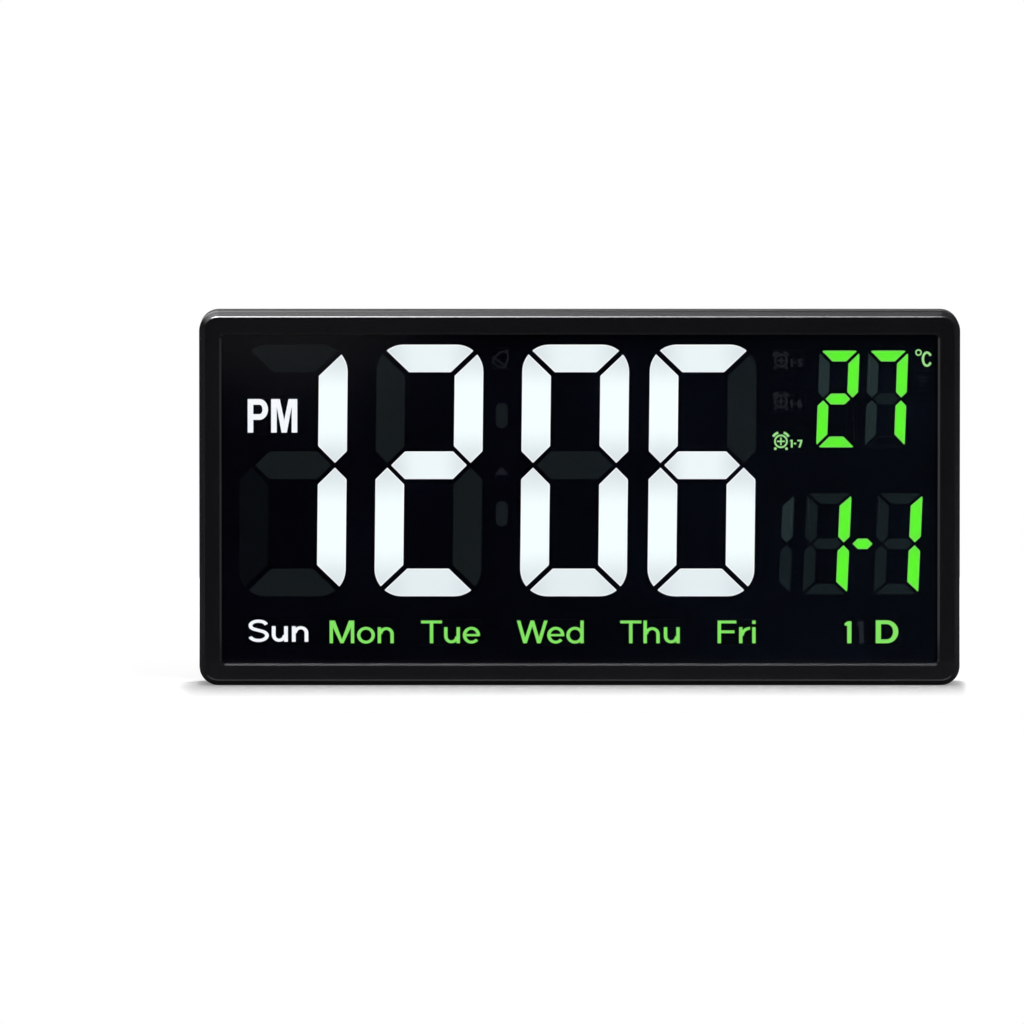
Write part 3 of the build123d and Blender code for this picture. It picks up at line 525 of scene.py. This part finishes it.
def block(left, low, right, high):
    return [(left, low), (right, low), (right, high), (left, high)]


def arc_points(cx, cz, rx, rz, start, end):
    steps = max(4, int(abs(end - start) / 9))
    angles = [math.radians(start + (end - start) * i / steps) for i in range(steps + 1)]
    return [(cx + rx * math.cos(angle), cz + rz * math.sin(angle)) for angle in angles]


def bow(cx, cz, rx, rz, start, end, side, top):
    """Part of an oval stroke, side thick at its sides and top thick above and below."""
    outer = arc_points(cx, cz, rx, rz, start, end)
    return outer + arc_points(cx, cz, rx - side, rz - top, end, start)


def ring(cx, cz, rx, rz, side, top):
    return [bow(cx, cz, rx, rz, 0, 180, side, top), bow(cx, cz, rx, rz, 180, 360, side, top)]


def ribbon(points, side, top):
    """A stroke along a line of points, side thick where it runs upright and top thick where it runs level."""
    left, right = [], []
    for i, (x, z) in enumerate(points):
        ahead = points[min(i + 1, len(points) - 1)]
        behind = points[max(i - 1, 0)]
        dx, dz = ahead[0] - behind[0], ahead[1] - behind[1]
        length = math.hypot(dx, dz)
        half = math.hypot(top * dx, side * dz) / length / 2
        left.append((x - dz / length * half, z + dx / length * half))
        right.append((x + dz / length * half, z - dx / length * half))
    return right + left[::-1]


def turned(shape, width, height):
    return [(width - x, height - z) for x, z in shape]


def arched(width, height, small, side, top):
    """The strokes of n and h."""
    left = side * 0.35
    radius = (width - left) / 2
    rise = 0.31
    return [block(0, 0, side, height), block(width - side, 0, width, small - rise),
            bow(left + radius, small - rise, radius, rise, 0, 180, side, top)]


def peaked(width, side, start, shoulder, foot):
    """The strokes of M."""
    middle = width / 2
    return [block(0, 0, side, 1), block(width - side, 0, width, 1),
            [(start, 1), (middle - foot / 2, 0), (middle + foot / 2, 0), (shoulder, 1)],
            [(width - start, 1), (width - shoulder, 1), (middle - foot / 2, 0), (middle + foot / 2, 0)]]


def letter_strokes(sign, side, top, bold):
    """A letter's width, the space at its left and right, and its strokes."""
    small = 0.71
    over = 0.015
    stem = 0.085
    if sign == "S":
        width = 0.885
        rx = width / 2 - side / 2
        upper = arc_points(width / 2, 1.01 - top / 2 - 0.200, rx * 0.94, 0.200, 12, 232)
        lower = arc_points(width / 2, top / 2 - 0.01 + 0.220, rx, 0.220, 58, -166)
        return width, 0.04, 0.04, [ribbon(upper + lower, side, top)]
    if sign in "nh":
        width = 0.70
        return width, stem, stem, arched(width, 1.0 if sign == "h" else small, small, side, top)
    if sign == "u":
        width = 0.685
        return width, stem, stem, [turned(shape, width, small) for shape in arched(width, small, small, side, top)]
    if sign == "M":
        width = 0.80 if bold else 1.07
        middle = (0.126, 0.266, 0.16) if bold else (0.0, 1.54 * side, 0.90 * side)
        return width, stem, stem, peaked(width, side, *middle)
    if sign == "W":
        width, half = 1.335, 0.52 * side
        middles = [(half, 1), (0.3545, 0), (0.6725, 1), (0.955, 0), (width - half, 1)]
        lean = [[(a - half, start), (b - half, end), (b + half, end), (a + half, start)]
                for (a, start), (b, end) in zip(middles, middles[1:])]
        return width, 0.0, -0.06, lean
    if sign == "o":
        width = 0.775
        return width, 0.03, 0.03, ring(width / 2, small / 2, width / 2, small / 2 + over, side, top)
    if sign == "e":
        width = 0.745
        return width, 0.035, 0.04, [bow(width / 2, small / 2, width / 2, small / 2 + over, -3, 180, side, top),
                                    bow(width / 2, small / 2, width / 2, small / 2 + over, 180, 322, side, top),
                                    block(side * 0.5, 0.3575 - 0.4 * top, width - 0.01, 0.3575 + 0.4 * top)]
    if sign == "d":
        width = 0.755
        return width, 0.04, stem, [block(width - side, 0, width, 1)] + ring(
            width / 2, small / 2, width / 2, small / 2 + over, side, top)
    if sign == "T":
        width = 0.905
        return width, 0.0, 0.0, [block(0, 1 - top, width, 1),
                                 block((width - side) / 2, 0, (width + side) / 2, 1)]
    if sign == "F":
        width = 0.80
        return width, stem, 0.025, [block(0, 0, side, 1), block(0, 1 - top, width, 1),
                                    block(0, 0.44, width * 0.9, 0.44 + top)]
    if sign == "r":
        width = 0.47
        return width, stem, 0.0, [block(0, 0, side, small),
                                  bow(width, 0.33, width - side * 0.35, small + 0.01 - 0.33, 90, 180, side, top)]
    if sign == "i":
        return side, stem, stem, [block(0, 0, side, small), block(0, 0.845, side, 1)]
    if sign == "P":
        width, bend = 0.624, 0.36
        return width, 0.0, 0.008, [block(0, 0, side, 1), block(0, 1 - top, bend, 1),
                                   block(0, 0.38, bend, 0.38 + top),
                                   bow(bend, 0.69, width - bend, 0.31, -90, 90, side, top)]
    if sign == "D":
        width, bend = 0.93, 0.45
        return width, 0.0, 0.0, [block(0, 0, side, 1), block(0, 1 - top, bend, 1), block(0, 0, bend, top),
                                 bow(bend, 0.5, width - bend, 0.5, -90, 90, side, top)]
    if sign == "C":
        width = 0.70
        return width, 0.0, 0.0, [bow(width / 2, 0.5, width / 2, 0.50, 30, 180, side, top),
                                 bow(width / 2, 0.5, width / 2, 0.50, 180, 330, side, top)]
    if sign == "1":
        width = side + 0.11
        return width, 0.05, 0.05, [block(width - side, 0, width, 1),
                                   [(0, 0.80), (width - side + 0.02, 0.80), (width - side + 0.02, 1), (0, 0.90)]]
    if sign == "-":
        return 0.30, 0.08, 0.08, [block(0, 0.40, 0.30, 0.40 + top)]
    if sign == "5":
        width = 0.64
        return width, 0.05, 0.05, [block(0.10, 1 - top, width - 0.03, 1), block(0.08, 0.50, 0.08 + side * 0.8, 1),
                                   bow(width / 2, 0.32, width / 2, 0.33, -160, 0, side, top),
                                   bow(width / 2, 0.32, width / 2, 0.33, 0, 130, side, top)]
    if sign == "6":
        width = 0.66
        return width, 0.05, 0.05, ring(width / 2, 0.31, width / 2, 0.32, side, top) + [
            bow(width / 2 + 0.04, 0.45, width / 2 + 0.04, 0.56, 55, 180, side, top), block(0, 0.30, side, 0.46)]
    if sign == "7":
        width, foot, head = 0.62, 0.12, 1 - top * 0.9
        return width, 0.05, 0.05, [block(0, 1 - top, width, 1),
                                   [(foot, 0), (foot + side * 1.1, 0), (width, head), (width - side, head)]]
    raise ValueError(sign)


def word_outlines(signs, left, right, low, high, side, top, bold=False):
    """The outlines of a word that fills a box."""
    shapes = []
    reach = 0.0
    gap = None
    for sign in signs:
        width, before, after, strokes = letter_strokes(sign, side, top, bold)
        reach += 0.0 if gap is None else gap + before
        shapes += [[(x + reach, z) for x, z in stroke] for stroke in strokes]
        reach += width
        gap = after
    return [[(left + x * (right - left) / reach, low + z * (high - low)) for x, z in shape] for shape in shapes]


def round_block(left, low, right, high, radius):
    corners = ((right - radius, high - radius, 0), (left + radius, high - radius, 90),
               (left + radius, low + radius, 180), (right - radius, low + radius, 270))
    return [point for x, z, turn in corners for point in arc_points(x, z, radius, radius, turn, turn + 90)]


def alarm_outlines(cx, cz, unit):
    """A small alarm clock: dial ring, two bells, two round feet and crossed hands."""
    dial, stroke, bell, foot = 2.75 * unit, 0.72 * unit, 4.15 * unit, 0.58 * unit
    hand, half = 1.6 * unit, 0.32 * unit
    shapes = ring(cx, cz, dial, dial, stroke, stroke)
    for turn in (52, 128):
        shapes.append(bow(cx, cz, bell, bell, turn - 21, turn + 21, unit, unit))
    for lean in (-1, 1):
        shapes.append(arc_points(cx + lean * 2.25 * unit, cz - 2.95 * unit, foot, foot, 0, 350))
    shapes.append(block(cx - half, cz - hand, cx + half, cz + hand))
    shapes.append(block(cx - hand, cz - half, cx + hand, cz + half))
    return shapes


def degree_outlines(letter, left, low, unit):
    """A small ring and the letter of a temperature scale."""
    radius, stroke, side, top = 1.34 * unit, 0.60 * unit, 0.165, 0.150
    shapes = ring(left + radius, low + 5.72 * unit, radius, radius, stroke, stroke)
    return shapes + word_outlines(letter, left + 2.6 * unit, left + 6.9 * unit, low, low + 6.2 * unit, side, top)


def bell_outlines(cx, cz, unit, lean):
    """A swung bell in outline: dome, knob, mouth and the swing of its clapper."""
    half = [(-2.9, 0.2), (-2.5, 2.2), (-2.1, 3.6), (-1.2, 4.7)]
    dome = half + [(0, 5.1)] + [(-x, z) for x, z in reversed(half)]
    shapes = [ribbon(dome, 0.7, 0.7), arc_points(0, 5.9, 0.6, 0.6, 0, 350), block(-3.6, -0.35, 3.6, 0.35),
              bow(0, 0.9, 4.3, 3.2, 207, 333, 0.6, 0.6)]
    across, up = unit * math.cos(math.radians(lean)), unit * math.sin(math.radians(lean))
    return [[(cx + x * across + z * up, cz + z * across - x * up) for x, z in shape] for shape in shapes]


def peak_outline(cx, low, unit):
    """A low peaked mark with a level foot."""
    half = [(2.6, 0), (2.6, 0.8), (1.5, 1.5), (0.5, 3.0)]
    return [(cx + x * unit, low + z * unit) for x, z in half + [(-x, z) for x, z in reversed(half)]]


def joined_outlines(shapes):
    """Overlapping outlines united into one flat area, as points and triangles."""
    points, loops = [], []
    for shape in shapes:
        area = sum(a[0] * b[1] - b[0] * a[1] for a, b in zip(shape, shape[1:] + shape[:1]))
        first = len(points)
        points += [Vector((x / mm, z / mm)) for x, z in (shape if area > 0 else shape[::-1])]
        loops.append(list(range(first, len(points))))
    made = delaunay_2d_cdt(points, [], loops, 0, 0.0005)
    faces = [face for face, sources in zip(made[2], made[5]) if sources]
    return [(point.x * mm, point.y * mm) for point in made[0]], faces


def sign_piece(name, shapes, finish, slot, rim, share=1.0, depth=0.06 * mm):
    """Words or signs as thin solid plates let into their mask."""
    points, faces = joined_outlines(shapes)
    front = window_front + depth
    back = window_front + sign_back
    shape = bmesh.new()
    front_verts = [shape.verts.new((x, front, z)) for x, z in points]
    back_verts = [shape.verts.new((x, back, z)) for x, z in points]
    sides = set()
    for face in faces:
        shape.faces.new([front_verts[i] for i in face])
        shape.faces.new([back_verts[i] for i in reversed(face)])
        sides |= set(zip(face, face[1:] + face[:1]))
    for a, b in sides:
        if (b, a) not in sides:
            shape.faces.new([front_verts[b], front_verts[a], back_verts[a], back_verts[b]])
    bmesh.ops.delete(shape, geom=[vert for vert in shape.verts if not vert.link_faces], context="VERTS")
    shape.normal_update()
    bmesh.ops.dissolve_limit(shape, angle_limit=math.radians(0.1), verts=shape.verts, edges=shape.edges)
    add_rim(shape, rim)
    light = shape.verts.layers.float.new("share")
    for vert in shape.verts:
        vert[light] = share
    place_piece(name, finished_mesh(name, shape, finish), "clock", slot)


# Screws

def screw_tree(finish):
    """Cross-recess screws on the points of a mesh, heads towards +Y."""
    tree = bpy.data.node_groups.new("cross_recess_screws", "GeometryNodeTree")
    tree.interface.new_socket("Seats", in_out="INPUT", socket_type="NodeSocketGeometry")
    for name in ("Head radius", "Head height", "Shank radius", "Shank length", "Recess length", "Recess width",
                 "Recess depth"):
        tree.interface.new_socket(name, in_out="INPUT", socket_type="NodeSocketFloat")
    tree.interface.new_socket("Screws", in_out="OUTPUT", socket_type="NodeSocketGeometry")
    graph = Graph(tree)
    given = graph.node("NodeGroupInput")
    head_radius, head_height = given.output("Head radius"), given.output("Head height")
    shank_radius, shank_length = given.output("Shank radius"), given.output("Shank length")
    head = graph.node("GeometryNodeMeshCone", sockets={
        "Vertices": 36, "Side Segments": 3, "Radius Top": head_radius * 0.80, "Radius Bottom": head_radius,
        "Depth": head_height})
    deep = head_height - given.output("Recess depth")
    slots = []
    for turn in (0, math.pi / 2):
        cut = graph.node("GeometryNodeMeshCube", sockets={"Size": graph.node("ShaderNodeCombineXYZ", sockets={
            0: given.output("Recess length"), 1: given.output("Recess width"), 2: head_height})})
        lift = graph.node("ShaderNodeCombineXYZ", sockets={0: 0.0, 1: 0.0, 2: deep + head_height * 0.5})
        slots.append(graph.node("GeometryNodeTransform", sockets={
            "Geometry": cut, "Translation": lift, "Rotation": (0.0, 0.0, turn)}))
    cut_head = graph.node("GeometryNodeMeshBoolean", {"operation": "DIFFERENCE"}, {"Mesh 1": head, "Mesh 2": slots})
    shank = graph.node("GeometryNodeMeshCone", sockets={
        "Vertices": 24, "Side Segments": 6, "Radius Top": shank_radius, "Radius Bottom": shank_radius * 0.85,
        "Depth": shank_length})
    low_shank = graph.node("GeometryNodeTransform", sockets={
        "Geometry": shank,
        "Translation": graph.node("ShaderNodeCombineXYZ", sockets={0: 0.0, 1: 0.0, 2: -1 * shank_length})})
    upright = graph.node("GeometryNodeJoinGeometry", sockets={"Geometry": [cut_head, low_shank]})
    laid = graph.node("GeometryNodeTransform", sockets={"Geometry": upright, "Rotation": (-math.pi / 2, 0.0, 0.0)})
    placed = graph.node("GeometryNodeInstanceOnPoints", sockets={"Points": given.output("Seats"), "Instance": laid})
    whole = graph.node("GeometryNodeRealizeInstances", sockets={"Geometry": placed})
    plated = graph.node("GeometryNodeSetMaterial", sockets={"Geometry": whole, "Material": finish})
    graph.node("NodeGroupOutput", sockets={"Screws": plated})
    return tree


def screw_piece(name, node, tree, head_height, shank_radius):
    """One mesh of all the screws of a set, at the CAD screws' places."""
    boxes = node_boxes(node)
    seats = bpy.data.meshes.new(name + "_seats")
    seats.from_pydata([((low.x + high.x) / 2, high.y - head_height, (low.z + high.z) / 2) for low, high in boxes],
                      [], [])
    carrier = bpy.data.objects.new(name + "_seats", seats)
    scene.collection.objects.link(carrier)
    low, high = boxes[0]
    radius = (high.x - low.x) / 2
    sizes = {"Head radius": radius, "Head height": head_height, "Shank radius": shank_radius,
             "Shank length": high.y - head_height - low.y, "Recess length": radius * 1.25,
             "Recess width": radius * 0.30, "Recess depth": head_height * 0.6}
    modifier = carrier.modifiers.new("screws", "NODES")
    modifier.node_group = tree
    for item in tree.interface.items_tree:
        if item.in_out == "INPUT" and item.name in sizes:
            modifier[item.identifier] = sizes[item.name]
    graph = bpy.context.evaluated_depsgraph_get()
    mesh = bpy.data.meshes.new_from_object(carrier.evaluated_get(graph))
    mesh.name = name
    carrier.modifiers.remove(modifier)
    bpy.data.objects.remove(carrier)
    place_piece(name, mesh, "clock", "steel", node)


# The case and what is inside it

def dress(finish, *nodes):
    for node in nodes:
        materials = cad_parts[node].data.materials
        materials.clear()
        materials.append(finish)


dress(gloss_moulding(), "front_bezel")
panel_piece("smoked_panel", smoked_panel())
dress(textured_moulding("textured_black_back", 0.020), "rear_cover")
dress(textured_moulding("textured_black_stand", 0.024), "fold_out_stand", "battery_cover")
dress(light_box_moulding(), "display_housing")
dress(solder_mask(), "main_board")
dress(lamp_package("white_lamp_package", tone(0.80, 0.79, 0.74), tone(0.85, 0.70, 0.22)), "white_leds")
dress(lamp_package("green_lamp_package", tone(0.74, 0.78, 0.72), tone(0.30, 0.75, 0.34)), "green_leds")
dress(leaded_package("controller_package", "microcontroller", 0.3 * mm), "microcontroller")
dress(leaded_package("driver_package", "led_drivers", 0.3 * mm), "led_drivers")
dress(leaded_package("sensor_package", "temperature_sensor", 3.5 * mm), "temperature_sensor")
dress(capped_switch(), "tact_switches")
dress(capacitor_can(), "filter_capacitors")
dress(dark_resin(), "ir_receiver")
dress(textured_moulding("black_inner_moulding", 0.026), "buzzer", "power_jack", "cell_holder",
      "plunger_mode", "plunger_up", "plunger_down", "plunger_alarm")
dress(plated_metal("nickel_plate", tone(0.66, 0.63, 0.57), tone(0.74, 0.71, 0.66), 0.20),
      "power_jack_pin", "cell_clip", "cell_contact", "clock_crystal")
dress(plated_metal("cell_steel", tone(0.60, 0.60, 0.59), tone(0.70, 0.70, 0.69), 0.24), "coin_cell")
dress(satin_button(), "button_mode", "button_up", "button_down", "button_alarm")

zinc = plated_metal("zinc_plated_steel", tone(0.50, 0.50, 0.50), tone(0.62, 0.62, 0.61), 0.26)
screws = screw_tree(zinc)
screw_piece("case_screw_set", "case_screws", screws, head_height=1.8 * mm, shank_radius=1.35 * mm)
screw_piece("board_screw_set", "board_screws", screws, head_height=1.4 * mm, shank_radius=1.05 * mm)

# The lit display, at six minutes past noon

white_light = 1.24
green_light = 1.15
white_stray = 0.6
green_stray = 0.36
white_rim = 0.55 * mm
green_rim = 0.85 * mm
lit_white = lit_window("lit_white_window", tone(0.92, 1.00, 1.00), tone(0.70, 0.76, 0.78), tone(1.00, 1.00, 1.00),
                       white_light)
lit_green = lit_window("lit_green_window", tone(0.112, 0.97, 0.020), tone(0.120, 0.88, 0.032),
                       tone(0.20, 0.75, 0.115), green_light)
dark_white = dark_window("unlit_white_window", tone(0.0130, 0.0178, 0.0168))
dark_green = dark_window("unlit_green_window", tone(0.0204, 0.0340, 0.0327))
white_word = lit_sign("lit_white_word", tone(0.92, 0.93, 0.96), tone(0.80, 0.86, 0.91), white_light)
green_word = lit_sign("lit_green_word", tone(0.24, 0.80, 0.125), tone(0.15, 0.56, 0.07), green_light)
pale_sign = lit_sign("lit_pale_sign", tone(0.36, 0.77, 0.28), tone(0.20, 0.50, 0.14), green_light)
dark_sign = dark_window("unlit_sign", tone(0.0145, 0.0168, 0.0192))
mask = sign_mask()

for node, lit in {"hour_tens_segments": "bc", "hour_units_segments": "abdeg", "minute_tens_segments": "abcdef",
                  "minute_units_segments": "acdefg", "colon_windows": ""}.items():
    window_piece(node, lit, white_stray, dark_white, lit_white, "white_diffuser", white_rim)
for node, lit in {"temperature_tens_segments": "abdeg", "temperature_units_segments": "abc",
                  "date_half_segments": "", "date_left_segments": "bc", "date_right_segments": "bc",
                  "date_dash_window": "abcdefg"}.items():
    window_piece(node, lit, green_stray, dark_green, lit_green, "green_diffuser", green_rim)

mask_piece("weekday_mask", "weekday_windows", mask, "housing")
mask_piece("sign_mask", "legend_windows", mask, "housing")

margin = 0.7 * mm
word_rim = 0.25 * mm
lit_rim = 0.15 * mm
unlit_rim = 0.10 * mm
white_strokes, green_strokes = (0.162, 0.142), (0.152, 0.128)
count_strokes, day_strokes = (0.18, 0.17), (0.22, 0.17)
alarm_strokes, period_strokes = (0.24, 0.22), (0.172, 0.170)

# How far a word stands in at its left, in at its right, up at its foot and up at its head
word_trims = {"Sun": (0.42 * mm, 0.12 * mm, 0.60 * mm, 0.58 * mm), "Mon": (0.50 * mm, 0.20 * mm, 0.0, 0.3 * mm),
              "Fri": (0.35 * mm, 0.15 * mm, 0.0, 0.3 * mm)}
plain_trim = (0.0, 0.0, 0.0, 0.3 * mm)
weekdays = []
for name, (low, high) in zip(("Sun", "Mon", "Tue", "Wed", "Thu", "Fri"), node_boxes("weekday_windows")):
    side, top = green_strokes if weekdays else white_strokes
    left, right, foot, head = word_trims.get(name, plain_trim)
    weekdays.append(word_outlines(name, low.x + margin + left, high.x - margin - right, low.z + margin + foot,
                                  high.z - margin + head, side, top))
sign_piece("sunday_word", weekdays[0], white_word, "white_diffuser", word_rim)
sign_piece("weekday_words", sum(weekdays[1:], []), green_word, "green_diffuser", word_rim)

period, bell, third, second, first, count, day, low_unit, high_unit = node_boxes("legend_windows")
low, high = period
sign_piece("afternoon_letters", word_outlines(
    "PM", low.x + margin + 0.65 * mm, high.x - margin + 0.2 * mm, low.z + margin, high.z - margin,
    *period_strokes, bold=True), white_word, "white_diffuser", word_rim)

lit_signs, pale_signs, unlit = [], [], []
for words, (low, high), shown in (("1-5", first, False), ("1-6", second, False), ("1-7", third, True)):
    middle = (low.z + high.z) / 2
    dial = low.x + margin + 3.1 * mm
    shapes = alarm_outlines(dial, middle, mm)
    shapes += word_outlines(words, dial + 3.6 * mm, dial + 8.6 * mm, middle - 2.5 * mm, middle + 0.65 * mm,
                            *alarm_strokes)
    if shown:
        pale_signs += shapes
    else:
        unlit += shapes

low, high = high_unit
pale_signs += degree_outlines("C", low.x + margin, low.z + 0.5 * mm, mm)
low, high = low_unit
faint = degree_outlines("F", low.x + margin + 0.8 * mm, low.z + 2.0 * mm, 0.58 * mm)
low, high = bell
faint += bell_outlines((low.x + high.x) / 2 - 0.9 * mm, (low.z + high.z) / 2 - 1.3 * mm, 0.92 * mm, 35)

low, high = count
lit_signs += word_outlines("1", low.x + margin + 0.9 * mm, low.x + margin + 3.7 * mm, low.z + margin,
                           high.z - margin, *count_strokes)
unlit += word_outlines("1", high.x - margin - 3.8 * mm, high.x - margin - 1.0 * mm, low.z + margin,
                       high.z - margin, *count_strokes)
low, high = day
lit_signs += word_outlines("D", low.x + margin + 0.8 * mm, high.x - margin - 0.5 * mm, low.z + margin,
                           high.z - margin + 0.4 * mm, *day_strokes)
sign_piece("lit_signs", lit_signs, green_word, "green_diffuser", lit_rim)
sign_piece("pale_signs", pale_signs, pale_sign, "green_diffuser", lit_rim)
sign_piece("unlit_signs", unlit, dark_sign, "green_diffuser", unlit_rim)
# The share sets how much painted stray glow these unlit signs show.
sign_piece("faint_signs", faint, dark_sign, "green_diffuser", unlit_rim, share=0.75)
low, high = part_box("colon_windows")
peak_foot = 84.6 * mm
sign_piece("peaked_mark", [peak_outline((low.x + high.x) / 2, peak_foot, mm)], dark_sign, "white_diffuser",
           unlit_rim, share=0.6, depth=-0.05 * mm)
# A dark plate in the mask's black over the receiver's opening hides the well and the lamp light that falls into it.
low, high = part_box("ir_receiver")
lap = 0.5 * mm
sign_piece("receiver_dark_plate", [round_block(low.x - lap, low.z - lap, high.x + lap, high.z + lap, 0.3 * mm)],
           mask, "housing", unlit_rim)


# Floor, light and camera

def studio_floor(width, front, back):
    """A pale floor that runs into the white of the background and keeps the shadow in front of and behind the clock.

    In the clock's gloss the floor is painted dark, except behind the clock and in a narrow strip along the foot of
    the bezel, which paints a thin reflected light line there.
    """
    shape = bmesh.new()
    shape.faces.new([shape.verts.new((x, y, 0)) for x, y in block(-width / 2, -front, width / 2, back)])
    finish = Finish("pale_floor")
    case_end, painted_reflection_line = 0.1525, -0.0215
    x, y = finish.parts(finish.place)[:2]
    # Painted light: extra glow next to the clock's ends, in front of it, washes out its shadow there.
    painted_light_beside = x.rise(case_end, 0.1575).larger((-1 * x).rise(case_end, 0.170)) * (1 - y.rise(0.0, 0.03))
    away = abs(x).rise(0.17, 0.45).larger(painted_light_beside).larger(y.rise(0.10, back))
    away = away.larger((-1 * y).rise(0.5 * front, front))
    # Painted reflection: this strip of floor shows in the gloss to put a light line on the bezel's foot.
    foot = (1 - abs(y - painted_reflection_line).rise(0.005, 0.007)) * (1 - abs(x).rise(0.150, 0.156))
    behind = y.rise(0.02, 0.05) * (1 - abs(x).rise(0.12, 0.15))
    path = finish.node("ShaderNodeLightPath", output="Is Camera Ray")
    mirrored = path.output("Is Glossy Ray").larger(path.output("Is Transmission Ray"))
    cloud = finish.grain(200 * mm, 2.0)
    shown = 0.03 + 0.97 * behind + 0.97 * foot
    floor_light = path.larger(shown * mirrored) * (0.2 + 0.6 * away)
    pale = finish.mix(cloud, tone(0.91, 0.91, 0.91), tone(0.93, 0.93, 0.93))
    diffuse = finish.node("ShaderNodeBsdfDiffuse", sockets={
        "Color": finish.mix((1 - shown) * mirrored, pale, tone(0.0, 0.0, 0.0))})
    glow = finish.node("ShaderNodeEmission", sockets={"Strength": floor_light})
    both = finish.node("ShaderNodeAddShader", sockets={0: diffuse, 1: glow})
    finish.node("ShaderNodeOutputMaterial", sockets={"Surface": both})
    floor = bpy.data.objects.new("floor", finished_mesh("floor", shape, finish.material))
    scene.collection.objects.link(floor)


def studio_world():
    """White to the eye, a soft even light on the clock, and in its gloss a dim studio with a few bright panels."""
    world = bpy.data.worlds.new("studio")
    scene.world = world
    world.use_nodes = True
    graph = Graph(world.node_tree)
    way = graph.node("ShaderNodeSeparateXYZ", sockets={
        0: graph.node("ShaderNodeTexCoord", output="Generated")})
    x, y, z = way.output("X"), way.output("Y"), way.output("Z")
    path = graph.node("ShaderNodeLightPath", output="Is Camera Ray")
    mirrored = path.output("Is Glossy Ray").larger(path.output("Is Transmission Ray"))
    leftward = 1 - 0.95 * x.rise(-0.035, 0.035)
    sky = (y + 0.5 * z).rise(-0.45, 0.35) * (0.03 + 1.1 * z.rise(0.30, 0.80) * leftward)
    top_light, back_light, patch_light, fill_light = 30, 0.4, 0.15, 0.32
    top_panel = z.rise(0.825, 0.93) * (1 - y.rise(0.05, 0.30)) * leftward * (0.25 + 0.75 * leftward) * top_light
    back_panel = y.rise(0.90, 0.99) * leftward * leftward * back_light
    side_panels = (1 - abs(y + 0.53).rise(0.05, 0.15)) * (1 - abs(z).rise(0.10, 0.25))
    side_panels = side_panels * (0.55 - 0.30 * x.rise(-0.1, 0.1))
    patch = (1 - abs(x + 0.0133).rise(0.001, 0.010)) * (1 - abs(z + 0.0565).rise(0.0005, 0.0040))
    patch = patch * (1 - y.rise(-0.9, -0.5)) * patch_light
    gloss_light = mirrored * (sky + top_panel + back_panel + side_panels + patch)
    background = graph.node("ShaderNodeBackground", sockets={
        "Color": tone(1.0, 1.0, 1.0), "Strength": path.larger(gloss_light + fill_light * (1 - mirrored))})
    graph.node("ShaderNodeOutputWorld", sockets={"Surface": background})


def softbox(name, place, aim, width, depth, power):
    """A soft lamp that the clock's gloss doesn't show."""
    lamp = bpy.data.lights.new(name, "AREA")
    lamp.shape = "RECTANGLE"
    lamp.size = width
    lamp.size_y = depth
    lamp.energy = power
    holder = bpy.data.objects.new(name, lamp)
    scene.collection.objects.link(holder)
    holder.visible_glossy = False
    holder.location = place
    holder.rotation_euler = (Vector(aim) - Vector(place)).to_track_quat("-Z", "Y").to_euler()


def photo_camera():
    """A long lens, almost square on from slightly above."""
    tilt = math.radians(3.85)
    distance = 6.84
    aim = Vector((-0.0271, -0.014, 0.0699))
    camera = bpy.data.objects.new("camera", bpy.data.cameras.new("camera"))
    scene.collection.objects.link(camera)
    camera.data.sensor_width = 36
    camera.data.lens = 600
    camera.data.clip_end = 100
    back = Vector((0, -math.cos(tilt), math.sin(tilt)))
    camera.location = aim + back * distance
    camera.rotation_euler = (-back).to_track_quat("-Z", "Y").to_euler()
    scene.camera = camera


studio_floor(width=1.4, front=0.14, back=0.6)
studio_world()
softbox("overhead_softbox", (0.0, 0.22, 1.25), (0.0, 0.0, 0.0), width=0.45, depth=0.40, power=9.5)
softbox("front_softbox", (0.9, -1.7, 0.9), (0.0, 0.0, 0.08), width=1.0, depth=1.0, power=9)
photo_camera()
scene.view_settings.view_transform = "Standard"
